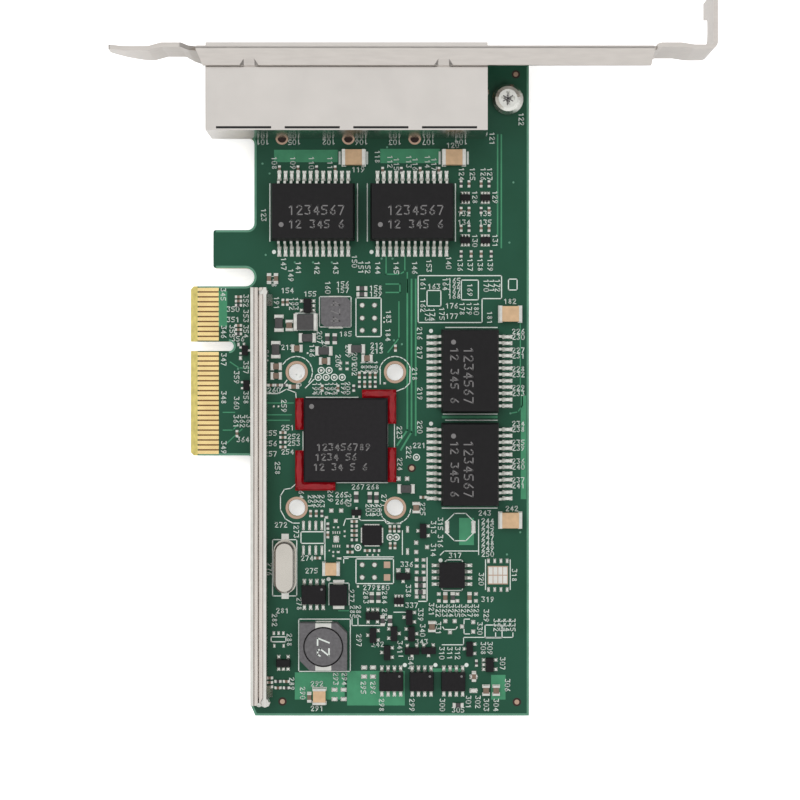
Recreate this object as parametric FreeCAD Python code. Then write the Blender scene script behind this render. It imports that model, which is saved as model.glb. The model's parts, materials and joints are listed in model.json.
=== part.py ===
import FreeCAD, Part
import math
import os

# Network interface card with four network ports, for an expansion slot.
#
# Frame, in millimetres: the origin is the middle of the key notch, on the edge connector's edge and
# halfway through the board. +X runs across the board to its top edge, +Y runs towards the face
# bracket, and +Z points out of the component side.

# ---------------------------------------------------------------- driving sizes: circuit board
board_thickness = 1.57
screw_strip = 8.95              # jack's far side to the board's top edge
board_tail = 74.85             # key notch to the end away from the bracket
board_gap = 0.6                # board end to the bracket's inner face
tail_edge = 12.2               # connector edge to the board's lower edge, tail side
recess_edge = 12.9             # connector edge to the floor of the recess behind the ports
recess_radius = 1.4
tail_chamfer_x = 0.9
tail_chamfer_y = 2.1
corner_radius = 0.5

contact_pitch = 1.0
short_side_contacts = 11
long_side_contacts = 21
first_contact = 1.5            # key notch centre to the first contact on either side
contact_margin = 0.65          # last contact to the end of the connector
contact_width = 0.7
contact_thickness = 0.05
contact_end = 5.7              # connector edge to the inner end of the contacts
notch_width = 1.9
notch_depth = 8.7
connector_chamfer = 0.6
bevel_length = 1.4
bevel_depth = 0.4

hook_tip = 4.6                 # connector edge to the tip of the retention hook
hook_slot = 3.7                # slot between the connector and the hook
hook_length = 7.7

# ---------------------------------------------------------------- driving sizes: face bracket
sheet = 0.86
bracket_face = 58.5            # key notch to the bracket's outer face
bracket_length = 119.1
bracket_width = 18.42
bracket_edge = 14.5            # component-side edge above the board's component side
bracket_start = -14.6          # connector edge to the tip of the tongue
tab_length = 11.43
tab_low = 1.4                  # solder-side edge of the tab above the board's component side
notch_start = 1.6              # bracket face to the near side of the fixing notch
fixing_notch = 5.6
fixing_notch_top = 6.5         # depth of the notch, above the board's component side
bend_radius = 0.6              # inside radius of the fixing tab's bend

tongue_width = 11.2
tongue_tip_width = 4.4
tongue_length = 15.58
tongue_taper = 6.0
shoulder = 1.6
neck_length = 12.3             # narrow part between the wide plate and the fixing tab
joggle_out = 0.4
joggle_in = 0.3
joggle_run = 2.6

lip_reach = 4.0                # stiffening lip, from the outer face
lip_bend = 1.1                 # outside radius of the lip's bend
lip_inset = 1.5
lip_slant = 1.4
latch_width = 2.1
latch_reach = 1.2
latch_web = 0.8                # width of the sloping web on each side of a latch
latch_offset = 19.0            # jack centre to each latch

ear_leg_gap = 0.25             # ear to the jack's side leg
ear_reach = 11.8
ear_edge_gap = 0.6             # ear to the board's top edge
relief = 0.5                   # clear cut beside the ear

screw_inset = 4.35              # board's top edge to the screw
screw_setback = 8.6            # bracket's outer face to the screw
screw_shank = 1.45             # shank radius
screw_head = 3.15              # head radius
screw_head_height = 2.2
screw_rim = 1.0                # height of the head's straight rim
screw_edge = 0.6               # fall of the head's crown near its rim
screw_flat = 1.9               # radius of the flat on the crown
screw_sides = 24               # flats round the head and the shank
screw_hole = 1.7
screw_thread_gap = 0.05
screw_projection = 0.7         # shank past the ear
drive_width = 0.8
drive_span = 2.8
drive_depth = 1.2

# ---------------------------------------------------------------- driving sizes: port jack
jack_height = 13.0
jack_left = 4.3                # connector edge to the jack's near side
jack_margin = 0.75             # outermost port's pitch to the jack's side
jack_depth = 17.2
board_overhang = 0.3           # jack's near side to the board under it
nose = 0.7                     # how far the jack stands out of the bracket
window_gap = 0.25
port_count = 4
port_pitch = 13.45
shell_wall = 0.3
housing_gap = 0.05

port_width = 11.7
port_height = 7.2
port_floor = 3.7               # port floor above the board
port_depth = 12.0
step_width = 6.4
step_height = 1.3
slot_width = 3.4
slot_height = 1.1
light_width = 2.5
light_height = 1.5
light_length = 3.0
light_offset = 4.6
light_floor = 1.3
face_margin = 0.25             # metal front pulled back around each port

wire = 0.35
wire_pitch = 1.016
wires_per_port = 8
wire_entry = 3.2               # port mouth to the front bend of the wires
wire_tip_depth = 9.6
wire_drop = 3.0
wire_hook = 0.9                # height of the bend at the front
wire_row_front = 3.4           # jack rear to the nearer row of tails
wire_row_back = 0.95
tail_length = 1.4              # below the board
tail_hole = 0.42
channel_gap = 0.12

rear_slot = 10.8
rear_slot_width = 0.45
leg_width = 1.5
leg_hole = 0.9
leg_length = 1.2
side_leg_inset = 7.0           # bracket's outer face to the side legs
spring_width = 2.0
spring_offset = 22.05          # jack centre to each spring finger
spring_start = 5.6             # jack front to the foot of a spring finger, nearer the rear
spring_run = 3.0
spring_rise = 0.55
spring_wall = 0.2

# ---------------------------------------------------------------- driving sizes: stiffener bar
bar_width = 3.2
bar_height = 4.0
bar_wall = 0.55
bar_hem = 0.65                 # width of each folded edge
bar_ledge_drop = 0.35
bar_slit = 0.3
bar_start = 11.7
bar_length = 84.0
bar_edge_gap = 0.2
bar_tabs = 5
bar_tab_width = 1.6
bar_tab_length = 0.5
bar_tab_gap = 0.1
fillet_length = 2.4
fillet_height = 1.2
fillet_reach = 1.0

# ---------------------------------------------------------------- driving sizes: main chip
chip_x = 31.45
chip_y = -19.0
chip_size = 17.0
chip_lid = 1.0                 # moulded lid
chip_base = 0.56               # laminate under the lid
chip_lid_inset = 0.35
ball_height = 0.5
ball_radius = 0.3
ball_inset = 0.88              # chip's edge to its outer balls
ball_count = 7
cooler_pitch_x = 19.92
cooler_pitch_y = 27.5
cooler_hole = 1.68
bond_width = 1.7
bond_height = 1.5
bond_chamfer = 0.5
bond_short = 5.2               # runs of adhesive from the chip's corners
bond_middle = 6.4
bond_long = 7.0

# ---------------------------------------------------------------- driving sizes: transformers
module_length = 16.8
module_width = 11.6
module_height = 5.8
module_standoff = 0.3
module_draft = 0.35
module_pins = 12
module_pitch = 1.27
module_span = 17.1
module_lead = 0.5
module_lead_thickness = 0.25
module_foot = 1.5
module_shoulder = 0.5
module_row_x = 24.95           # two modules beside the jack
module_row_y = 26.85
module_row_step = 19.9
module_column_x = 56.5         # two modules beside the main chip
module_column_y = -5.1
module_column_step = 18.75

# ---------------------------------------------------------------- driving sizes: small parts
lead_thickness = 0.2
case_gap = 0.1                 # moulded cases above the board
case_draft = 0.12

memory_size = 5.2
memory_height = 1.75
memory_span = 7.9
eight_pin_length = 4.9
eight_pin_width = 3.9
eight_pin_height = 1.5
eight_pin_span = 6.0
eight_pin_pitch = 1.27
eight_pin_lead = 0.42
eight_pin_foot = 0.7

transistor_length = 2.9
transistor_width = 1.3
transistor_height = 1.0
transistor_span = 2.5
transistor_pitch = 0.95
transistor_lead = 0.4
transistor_foot = 0.35
gate_width = 1.6
gate_span = 2.9
array_length = 2.0
array_width = 1.25
array_height = 0.95
array_span = 2.2
array_pitch = 0.65
array_lead = 0.25

rectifier_length = 4.3
rectifier_width = 3.6
rectifier_height = 2.3
rectifier_span = 5.6
rectifier_tab = 2.0
rectifier_foot = 0.4

regulator_size = 4.0
regulator_height = 0.85
regulator_pads_per_side = 6
regulator_pitch = 0.5
regulator_pad = 0.25
regulator_pad_height = 0.2
regulator_pad_reach = 0.12

inductor_size = 9.5
inductor_height = 3.2
inductor_chamfer = 2.0
inductor_drum = 3.75           # drum radius
inductor_well = 4.05           # radius of the well around the drum
inductor_well_depth = 1.2
inductor_clip = 3.2
inductor_clip_wall = 0.25
inductor_clip_reach = 1.3
choke_size = 5.9
choke_height = 1.9
choke_chamfer = 0.7
choke_clip = 2.6
choke_clip_wall = 0.2

crystal_length = 10.4
crystal_width = 4.1
crystal_height = 3.5
crystal_rim = 0.25
crystal_rim_height = 0.5
crystal_bevel = 0.35
crystal_sides = 10             # flats round each end
crystal_foot_width = 1.2
crystal_foot_reach = 1.0

chip_skin = 0.05               # metal end caps stand proud of the ceramic
# length, width, height, end cap length
size_1812 = (4.6, 3.2, 1.7, 0.6)
size_1210 = (3.3, 2.6, 1.5, 0.5)
size_1206 = (3.2, 1.6, 0.9, 0.5)
size_0805 = (2.0, 1.25, 0.8, 0.4)
size_0603 = (1.6, 0.8, 0.6, 0.3)
under_pitch = 4.0              # decoupling capacitors under the main chip
under_count = 3
chip_resistor_gap = 3.7        # main chip's edge to the middle of the resistor beside it

# centre x, centre y, quarter turns
line_capacitor_places = ((33.05, 38.15, 0), (53.35, 38.15, 0), (64.75, 6.5, 0), (64.75, -35.25, 0))
filter_capacitor_places = ((28.45, -45.1, 0), (26.1, -70.85, 1))
resistor_places = (
    (17.9, 4.65, 1), (17.25, -0.7, 1), (23.65, 1.7, 0), (27.0, -0.95, 0), (33.6, -0.55, 0),
    (chip_x + chip_size / 2 + chip_resistor_gap, -28.9, 0),
)
capacitor_places = (
    (20.0, 4.2, 1), (17.35, -4.1, 0), (17.35, -6.0, 0), (21.55, -0.45, 0), (27.15, -3.0, 0),
    (35.75, -2.45, 0), (45.7, -32.7, 1), (48.9, -56.8, 1), (59.85, -69.7, 1), (61.9, -69.7, 1),
)
bead_place = (23.3, 4.85, 0)
memory_place = (52.95, -46.3, 1)
eight_pin_places = ((24.95, -50.3, 0), (40.65, -67.85, 0), (46.8, -67.85, 0), (53.2, -67.85, 0))
transistor_places = (
    (47.1, -37.4, 1), (43.05, -46.6, 2), (36.95, -58.55, 1), (41.2, -58.2, 3), (44.3, -54.9, 1),
    (44.75, -58.25, 3), (39.8, -62.05, 1), (44.85, -61.7, 2), (48.2, -61.6, 2), (56.5, -61.3, 1),
)
gate_places = ((23.7, 8.2, 1), (36.9, -54.6, 2), (60.6, -64.5, 3), (18.8, -64.15, 0))
array_places = (
    (55.65, 30.05, 0), (59.7, 30.05, 0), (55.65, 21.45, 0), (59.7, 21.45, 0), (42.2, -51.55, 0),
)
rectifier_place = (30.0, -50.3, 0)
regulator_place = (36.75, -38.3, 0)
inductor_place = (27.0, -60.55, 0)
choke_place = (29.4, 6.9, 0)
crystal_place = (19.15, -44.6, 1)

# ---------------------------------------------------------------- derived planes
top = board_thickness / 2
under = -board_thickness / 2
connector_short = first_contact + (short_side_contacts - 1) * contact_pitch + contact_margin
connector_long = first_contact + (long_side_contacts - 1) * contact_pitch + contact_margin
bracket_back = bracket_face - sheet
board_front = bracket_back - board_gap
bracket_top = top + bracket_edge
bracket_low = bracket_top - bracket_width
hook_start = connector_short + hook_slot
hook_end = hook_start + hook_length
jack_front = bracket_face + nose
jack_rear = jack_front - jack_depth
jack_right = jack_left + port_count * port_pitch + 2 * jack_margin
jack_centre = (jack_left + jack_right) / 2
front_edge = jack_left + board_overhang
board_height = jack_right + screw_strip
ear_left = jack_right + ear_leg_gap
ear_right = board_height - ear_edge_gap
screw_x = board_height - screw_inset
screw_y = bracket_face - screw_setback
tab_face = bracket_start + bracket_length
recess_top = jack_rear + shell_wall
jack_top = top + jack_height
housing_front = jack_front - shell_wall
port_back = jack_front - port_depth
port_centres = [jack_centre + (n - (port_count - 1) / 2) * port_pitch for n in range(port_count)]
port_bottom = top + port_floor
port_ceiling = port_bottom + port_height
wire_level = port_ceiling + wire
bar_left = tail_edge + bar_edge_gap
bar_right = bar_left + bar_width
chip_underside = top + ball_height
ball_pitch = (chip_size - 2 * ball_inset) / (ball_count - 1)


# ---------------------------------------------------------------- shape helpers
def vector(x, y, z):
    return FreeCAD.Vector(x, y, z)


def block(x0, x1, y0, y1, z0, z1):
    """A box between two opposite corners."""
    return Part.makeBox(x1 - x0, y1 - y0, z1 - z0, vector(x0, y0, z0))


def block_at(x, y, z, length, width, height):
    """A box centred on x and y that stands on z."""
    return block(x - length / 2, x + length / 2, y - width / 2, y + width / 2, z, z + height)


def round_bar(x, y, z, radius, height):
    return Part.makeCylinder(radius, height, vector(x, y, z))


def many_sided(x, y, radius, sides):
    """Outline with flat sides, near enough to round for a pin, a leg or a small screw."""
    angles = [math.pi * (2 * n + 1) / sides for n in range(sides)]
    return [(x + radius * math.cos(angle), y + radius * math.sin(angle)) for angle in angles]


def corner_arc(before, corner, after, radius):
    """Tangent points and middle point of a rounded corner."""
    into = (before - corner).normalize()
    out = (after - corner).normalize()
    half = into.getAngle(out) / 2
    run = radius / math.tan(half)
    bisector = (into + out).normalize()
    centre = corner + bisector * (radius / math.sin(half))
    return corner + into * run, centre - bisector * radius, corner + out * run


def outline(points, place):
    """A closed face through points (a, b) or (a, b, corner radius), set in space by place(a, b)."""
    corners = [place(point[0], point[1]) for point in points]
    radii = [point[2] if len(point) > 2 else 0 for point in points]
    count = len(points)
    edges = []
    ends = []
    for n in range(count):
        if radii[n] > 0:
            first, middle, last = corner_arc(corners[n - 1], corners[n], corners[(n + 1) % count], radii[n])
            edges.append(Part.Arc(first, middle, last).toShape())
            ends.append((first, last))
        else:
            ends.append((corners[n], corners[n]))
    for n in range(count):
        start = ends[n][1]
        finish = ends[(n + 1) % count][0]
        if start.distanceToPoint(finish) > 1e-6:
            edges.append(Part.makeLine(start, finish))
    return Part.Face(Part.Wire(Part.sortEdges(edges)[0]))


def in_plan(z):
    return lambda a, b: vector(a, b, z)


def facing(y):
    return lambda a, b: vector(a, y, b)


def across(x):
    return lambda a, b: vector(x, a, b)


def slab(points, z0, z1):
    """A plan outline raised from z0 to z1."""
    return outline(points, in_plan(z0)).extrude(vector(0, 0, z1 - z0))


def front_slab(points, y0, y1):
    """An outline in X and Z, carried along Y."""
    return outline(points, facing(y0)).extrude(vector(0, y1 - y0, 0))


def side_slab(points, x0, x1):
    """An outline in Y and Z, carried along X."""
    return outline(points, across(x0)).extrude(vector(x1 - x0, 0, 0))


def offset_path(path, distance):
    """The path moved to its right by a distance, with mitred corners and matching radii."""
    moved = []
    last = len(path) - 1
    for n, point in enumerate(path):
        here = vector(point[0], point[1], 0)
        radius = point[2] if len(point) > 2 else 0
        before = here - vector(path[n - 1][0], path[n - 1][1], 0) if n > 0 else None
        after = vector(path[n + 1][0], path[n + 1][1], 0) - here if n < last else None
        before = before.normalize() if before else after.normalize()
        after = after.normalize() if after else before
        right_before = vector(before.y, -before.x, 0)
        right_after = vector(after.y, -after.x, 0)
        mitre = (right_before + right_after).normalize()
        place = here + mitre * (distance / mitre.dot(right_before))
        turn = before.cross(after).z
        if radius > 0:
            radius = radius + distance if turn > 0 else max(radius - distance, 0)
        moved.append((place.x, place.y, radius))
    return moved


def strip(path, thickness):
    """Corner points of a strip of even thickness whose left side follows a path."""
    return list(path) + list(reversed(offset_path(path, thickness)))


def placed(shape, place):
    """A shape built about the origin, turned by quarter turns and set at (x, y, turns)."""
    x, y, turns = place
    moved = shape.copy()
    moved.rotate(vector(0, 0, 0), vector(0, 0, 1), 90 * turns)
    moved.translate(vector(x, y, 0))
    return moved


def all_placed(shapes, places):
    """Every shape of a piece, set at every one of its places."""
    return [placed(shape, place) for place in places for shape in shapes]


def save(name, shapes):
    """Write one node: a single solid, or a group of separate solids."""
    whole = shapes[0] if len(shapes) == 1 else Part.makeCompound(shapes)
    whole.exportStep("parts/" + name + ".step")


def single(shape):
    """The one solid of a cut or a fusion."""
    return shape.removeSplitter().Solids[0]


# ---------------------------------------------------------------- places shared by pieces
def module_places():
    """Centre x, centre y and quarter turns of each transformer module."""
    row = [(module_row_x + n * module_row_step, module_row_y, 0) for n in range(2)]
    column = [(module_column_x, module_column_y - n * module_column_step, 1) for n in range(2)]
    return row + column


def cooler_holes():
    along = cooler_pitch_x / 2
    up = cooler_pitch_y / 2
    return [(chip_x + i * along, chip_y + j * up) for i in (-1, 1) for j in (-1, 1)]


def wire_places():
    """x and tail row of each contact wire of every port."""
    places = []
    for centre in port_centres:
        for n in range(wires_per_port):
            x = centre + (n - (wires_per_port - 1) / 2) * wire_pitch
            places.append((x, jack_rear + (wire_row_front if n % 2 else wire_row_back)))
    return places


def leg_places():
    """x, y and side (-1, 0 or 1) of the shell's legs: between the ports along the rear, one on each side."""
    rear = [(centre + port_pitch / 2, jack_rear, 0) for centre in port_centres[:-1]]
    side_y = bracket_face - side_leg_inset
    return rear + [(jack_left, side_y, -1), (jack_right, side_y, 1)]


def bar_tab_places():
    step = (bar_length - 2 * bar_tab_width) / (bar_tabs - 1)
    return [bar_start - bar_tab_width - n * step for n in range(bar_tabs)]


# ---------------------------------------------------------------- circuit board
def circuit_board():
    half_notch = notch_width / 2
    half_slot = hook_slot / 2
    points = [
        (0, -connector_long + connector_chamfer),
        (0, -half_notch),
        (notch_depth, -half_notch, half_notch),
        (notch_depth, half_notch, half_notch),
        (0, half_notch),
        (0, connector_short - connector_chamfer),
        (connector_chamfer, connector_short),
        (recess_edge, connector_short, half_slot),
        (recess_edge, hook_start, half_slot),
        (hook_tip, hook_start, corner_radius),
        (hook_tip, hook_end, corner_radius),
        (recess_edge, hook_end, recess_radius),
        (recess_edge, recess_top, recess_radius),
        (front_edge, recess_top, corner_radius),
        (front_edge, board_front),
        (board_height, board_front),
        (board_height, -board_tail),
        (tail_edge + tail_chamfer_x, -board_tail),
        (tail_edge, -board_tail + tail_chamfer_y),
        (tail_edge, -connector_long, corner_radius),
        (connector_chamfer, -connector_long),
    ]
    board = slab(points, under, top)
    cuts = []
    for side in (-1, 1):
        face = side * board_thickness / 2
        tip = face - side * bevel_depth
        bevel = [
            (-relief, face + side),
            (bevel_length, face + side),
            (bevel_length, face),
            (0, tip),
            (-relief, tip),
        ]
        cuts.append(front_slab(bevel, -connector_long - relief, connector_short + relief))
    for x, y in cooler_holes():
        cuts.append(round_bar(x, y, under, cooler_hole, board_thickness))
    cuts.append(round_bar(screw_x, screw_y, under, screw_hole, board_thickness))
    for x, y in wire_places():
        cuts.append(slab(many_sided(x, y, tail_hole, 6), under, top))
    for x, y, side in leg_places():
        cuts.append(slab(many_sided(x, y, leg_hole, 8), under, top))
    slot_width_x = bar_wall + 2 * bar_tab_gap
    slot_width_y = bar_tab_width + 2 * bar_tab_gap
    for y in bar_tab_places():
        cuts.append(block_at(bar_left + bar_width / 2, y, under, slot_width_x, slot_width_y, board_thickness))
    return single(board.cut(cuts))


def edge_contacts():
    offsets = [first_contact + n * contact_pitch for n in range(short_side_contacts)]
    offsets += [-first_contact - n * contact_pitch for n in range(long_side_contacts)]
    length = contact_end - bevel_length
    middle = (contact_end + bevel_length) / 2
    contacts = []
    for y in offsets:
        for z in (top, under - contact_thickness):
            contacts.append(block_at(middle, y, z, length, contact_width, contact_thickness))
    return contacts


# ---------------------------------------------------------------- face bracket
plate_start = bracket_start + tongue_length
plate_end = tab_face - neck_length


def plate_strip():
    """The bracket seen from the component side: tongue, plate, neck and fixing tab in one strip."""
    out = bracket_face + joggle_out
    inward = bracket_face - joggle_in
    path = [
        (bracket_start, inward + joggle_in, 0),
        (bracket_start + tongue_taper / 2, inward, 0),
        (plate_start - 3 * joggle_run, inward, 0),
        (plate_start - 2 * joggle_run, out, 0),
        (plate_start - joggle_run / 2, out, 0),
        (plate_start, bracket_face, 0),
        (plate_end, bracket_face, 0),
        (plate_end + joggle_run / 2, out, 0),
        (plate_end + 2 * joggle_run, out, 0),
        (plate_end + 3 * joggle_run, bracket_face, 0),
        (tab_face - sheet, bracket_face, bend_radius),
        (tab_face - sheet, bracket_face + tab_length - sheet, 0),
    ]
    return slab(strip(path, sheet), bracket_low, bracket_top)


def plate_front():
    """The bracket's outline seen along the ports, without its lip."""
    tip = bracket_start
    tongue_low = bracket_top - tongue_width
    lip_seam = bracket_top - 2 * lip_bend
    neck_low = top + tab_low
    return [
        (tip, bracket_top - tongue_tip_width, tongue_tip_width / 2),
        (tip + tongue_taper, tongue_low, tongue_taper / 2),
        (plate_start - shoulder, tongue_low),
        (plate_start + shoulder, bracket_low),
        (plate_end, bracket_low),
        (plate_end + shoulder, neck_low),
        (tab_face, neck_low),
        (tab_face, bracket_top),
        (plate_end + relief, bracket_top),
        (plate_end + relief, lip_seam),
        (plate_start + shoulder, lip_seam),
        (plate_start - shoulder, bracket_top),
        (tip, bracket_top, bend_radius),
    ]


def folded_lip(x0, x1, edge, reach, way):
    """A lip folded inwards off the plate; way is +1 for one below its edge and -1 for one above."""
    points = [
        (bracket_face, edge - way * 2 * lip_bend),
        (bracket_face, edge, lip_bend),
        (bracket_face - reach, edge),
        (bracket_face - reach, edge - way * sheet),
        (bracket_back, edge - way * sheet, lip_bend - sheet),
        (bracket_back, edge - way * 2 * lip_bend),
    ]
    return side_slab(points, x0, x1)


def stiffening_lip():
    left = plate_start + lip_inset
    lip = folded_lip(left, plate_end, bracket_top, lip_reach, 1)
    edge = bracket_face - lip_reach
    trim = slab([(left, bracket_face), (plate_end, bracket_face), (plate_end, bracket_back),
                 (plate_end - lip_slant / 2, edge), (left + lip_slant, edge), (left, bracket_back)],
                bracket_low, bracket_top)
    return lip.common(trim)


def latch(x):
    """A tongue of the lip pressed down until it bears on the jack."""
    edge = bracket_face - lip_reach
    high = bracket_top - sheet
    points = [
        (edge + latch_reach, high), (edge + latch_reach, bracket_top),
        (edge, jack_top + sheet), (edge, jack_top),
    ]
    return side_slab(points, x - latch_width / 2, x + latch_width / 2)


def latch_webs(x):
    """The two three-cornered webs that join a latch to the lip."""
    edge = bracket_face - lip_reach
    webs = []
    for side in (-1, 1):
        near = x + side * latch_width / 2
        corners = [
            vector(near, edge + latch_reach, bracket_top),
            vector(near + side * latch_web, edge, bracket_top),
            vector(near, edge, jack_top + sheet),
        ]
        web = Part.Face(Part.makePolygon(corners + corners[:1]))
        webs.append(web.extrude(vector(0, 0, jack_top - bracket_top + sheet)))
    return webs


def latch_room(x):
    """The three-cornered opening in the lip that a latch and its webs fill."""
    edge = bracket_face - lip_reach
    half = latch_width / 2
    points = [
        (x - half - latch_web, edge), (x + half + latch_web, edge),
        (x + half, edge + latch_reach), (x - half, edge + latch_reach),
    ]
    return slab(points, bracket_top - 2 * sheet, bracket_top + sheet)


def fixing_ear():
    """The ear under the board that takes the screw."""
    return folded_lip(ear_left, ear_right, under - sheet, ear_reach, -1)


def face_bracket():
    flat = front_slab(plate_front(), bracket_face - lip_reach, bracket_face + tab_length)
    plate = plate_strip().common(flat)
    ear_seam = under - sheet + 2 * lip_bend
    ear_room = block(ear_left - relief, ear_right + relief, bracket_back - relief,
                     bracket_face + relief, bracket_low - relief, ear_seam)
    plate = plate.cut([ear_room])
    latches = [jack_centre - latch_offset, jack_centre + latch_offset]
    lip = stiffening_lip().cut([latch_room(x) for x in latches])
    pressed = [shape for x in latches for shape in [latch(x)] + latch_webs(x)]
    bracket = plate.fuse([lip, fixing_ear()] + pressed)
    window = block(jack_left - window_gap, jack_right + window_gap,
                   bracket_back - relief, bracket_face + relief,
                   top - window_gap, jack_top + window_gap)
    near = bracket_face + notch_start
    far = near + fixing_notch
    notch_ceiling = top + fixing_notch_top
    notch_radius = fixing_notch / 3
    fixing_cut = side_slab([(near, bracket_low), (near, notch_ceiling, notch_radius),
                            (far, notch_ceiling, notch_radius), (far, bracket_low)],
                           tab_face - 2 * sheet, tab_face + sheet)
    thread = round_bar(screw_x, screw_y, under - 2 * sheet, screw_shank + screw_thread_gap, 2 * sheet)
    return single(bracket.cut([window, fixing_cut, thread]))


def bracket_screw():
    """A pan-head screw with a cross drive, through the board and into the ear."""
    crown = top + screw_head_height
    rings = [
        (screw_head, top), (screw_head, top + screw_rim),
        (screw_head - screw_edge, crown - screw_edge / 2), (screw_flat, crown),
    ]
    wires = [outline(many_sided(0, 0, radius, screw_sides), in_plan(z)).OuterWire for radius, z in rings]
    head = Part.makeLoft(wires, True, True)
    shank_end = under - sheet - screw_projection
    shank = slab(many_sided(0, 0, screw_shank, screw_sides), shank_end, top)
    screw = head.fuse(shank)
    drive = block_at(0, 0, crown - drive_depth, drive_span, drive_width, drive_depth)
    cross = block_at(0, 0, crown - drive_depth, drive_width, drive_span, drive_depth)
    screw = single(screw.cut([drive, cross]))
    screw.translate(vector(screw_x, screw_y, 0))
    return screw


# ---------------------------------------------------------------- port jack
def port_face(centre, grow):
    """Outline of one port mouth: the plug's opening with its two latch steps below."""
    half = port_width / 2 + grow
    half_step = step_width / 2 + grow
    half_slot = slot_width / 2 + grow
    step_low = port_bottom - step_height
    slot_low = step_low - slot_height
    return [
        (centre - half, port_bottom - grow), (centre - half_step, port_bottom - grow),
        (centre - half_step, step_low - grow), (centre - half_slot, step_low - grow),
        (centre - half_slot, slot_low - grow), (centre + half_slot, slot_low - grow),
        (centre + half_slot, step_low - grow), (centre + half_step, step_low - grow),
        (centre + half_step, port_bottom - grow), (centre + half, port_bottom - grow),
        (centre + half, port_ceiling + grow), (centre - half, port_ceiling + grow),
    ]


def wire_path(row):
    """Centre run of one contact wire: tail, riser, run over the port, and the sprung end inside it."""
    mouth = jack_front - wire_entry
    tip = jack_front - wire_tip_depth
    return [
        (row - wire / 2, under - tail_length, 0),
        (row - wire / 2, wire_level, 0),
        (mouth, wire_level, 0),
        (mouth, wire_level - wire_hook, 0),
        (tip, port_ceiling - wire_drop, 0),
    ]


def contact_wires():
    wires = []
    for x, row in wire_places():
        path = wire_path(row)
        wires.append(side_slab(strip(path, wire), x - wire / 2, x + wire / 2))
    return wires


def light_box(x, depth):
    return block(x - light_width / 2, x + light_width / 2, housing_front - depth, housing_front,
                 top + light_floor, top + light_floor + light_height)


def jack_housing():
    """The moulded insert: four plug openings, wire channels over them and a wire chamber behind."""
    left = jack_left + shell_wall + housing_gap
    right = jack_right - shell_wall - housing_gap
    rear = jack_rear + shell_wall + housing_gap
    ceiling = jack_top - shell_wall - housing_gap
    body = block(left, right, rear, housing_front, top, ceiling)
    cuts = []
    wire_span = wires_per_port * wire_pitch
    channel_top = wire_level + channel_gap
    for centre in port_centres:
        x0 = centre - wire_span / 2
        x1 = centre + wire_span / 2
        cuts.append(front_slab(port_face(centre, 0), port_back, jack_front))
        cuts.append(block(x0, x1, rear - relief, jack_rear + wire_row_front + wire, top, channel_top))
        cuts.append(block(x0, x1, rear, jack_front - wire_entry + wire, port_ceiling, channel_top))
        for side in (-1, 1):
            cuts.append(light_box(centre + side * light_offset, light_length))
    return single(body.cut(cuts))


def spring_finger(x):
    """A finger of the shell, arched up against the underside of the bracket's lip."""
    start = jack_front - spring_start
    path = [
        (start, jack_top + spring_wall, 0),
        (start + spring_run / 4, jack_top + spring_rise, 0),
        (start + spring_run * 3 / 4, jack_top + spring_rise, 0),
        (start + spring_run, jack_top + spring_wall, 0),
    ]
    return side_slab(strip(path, spring_wall), x - spring_width / 2, x + spring_width / 2)


def jack_shell():
    """The folded metal shield: front with four mouths, top, sides and back, and legs into the board."""
    outer = block(jack_left, jack_right, jack_rear, jack_front, top, jack_top)
    inner = block(jack_left + shell_wall, jack_right - shell_wall, jack_rear + shell_wall, housing_front,
                  top - relief, jack_top - shell_wall)
    shell = outer.cut(inner)
    cuts = []
    for centre in port_centres:
        cuts.append(front_slab(port_face(centre, face_margin), housing_front - relief, jack_front + relief))
        cuts.append(block(centre - light_offset - light_width / 2 - face_margin,
                          centre + light_offset + light_width / 2 + face_margin,
                          housing_front - relief, jack_front + relief,
                          top + light_floor - face_margin, top + light_floor + light_height + face_margin))
        slot_y = jack_rear + shell_wall
        cuts.append(block(centre - rear_slot / 2, centre + rear_slot / 2, slot_y, slot_y + rear_slot_width,
                          jack_top - shell_wall - relief, jack_top + relief))
    shell = shell.cut(cuts)
    legs = []
    for x, y, side in leg_places():
        if side == 0:
            plan = (x - leg_width / 2, x + leg_width / 2, y, y + shell_wall)
        else:
            plan = (*sorted((x, x - side * shell_wall)), y - leg_width / 2, y + leg_width / 2)
        legs.append(block(*plan, under - leg_length, top))
    springs = [spring_finger(jack_centre + side * spring_offset) for side in (-1, 1)]
    return single(shell.fuse(legs + springs))


# ---------------------------------------------------------------- stiffener bar
def board_stiffener():
    """A bar folded back on itself along the board's lower edge: two hems, a slit and tabs."""
    middle = bar_left + bar_width / 2
    crest = top + bar_height
    ledge = crest - bar_ledge_drop
    half = [(bar_hem, crest), (bar_hem, ledge), (bar_width / 2 - bar_slit / 2, ledge),
            (bar_width / 2 - bar_slit / 2, top + bar_wall)]
    left = [(bar_left, top), (bar_left, crest)] + [(bar_left + x, z) for x, z in half]
    right = [(bar_right - x, z) for x, z in reversed(half)] + [(bar_right, crest), (bar_right, top)]
    channel = front_slab(left + right, bar_start - bar_length, bar_start)
    depth = board_thickness + bar_tab_length
    tabs = []
    for y in bar_tab_places():
        tabs.append(block_at(middle, y, under - bar_tab_length, bar_wall, bar_tab_width, depth))
    return single(channel.fuse(tabs))


def stiffener_fillets():
    """Solder fillets along the bar's inner side."""
    fillets = []
    for y in (bar_start - fillet_length, bar_start - bar_length + fillet_length):
        profile = [(bar_right, top), (bar_right + fillet_reach, top), (bar_right, top + fillet_height)]
        fillets.append(front_slab(profile, y - fillet_length / 2, y + fillet_length / 2))
    return fillets


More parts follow.
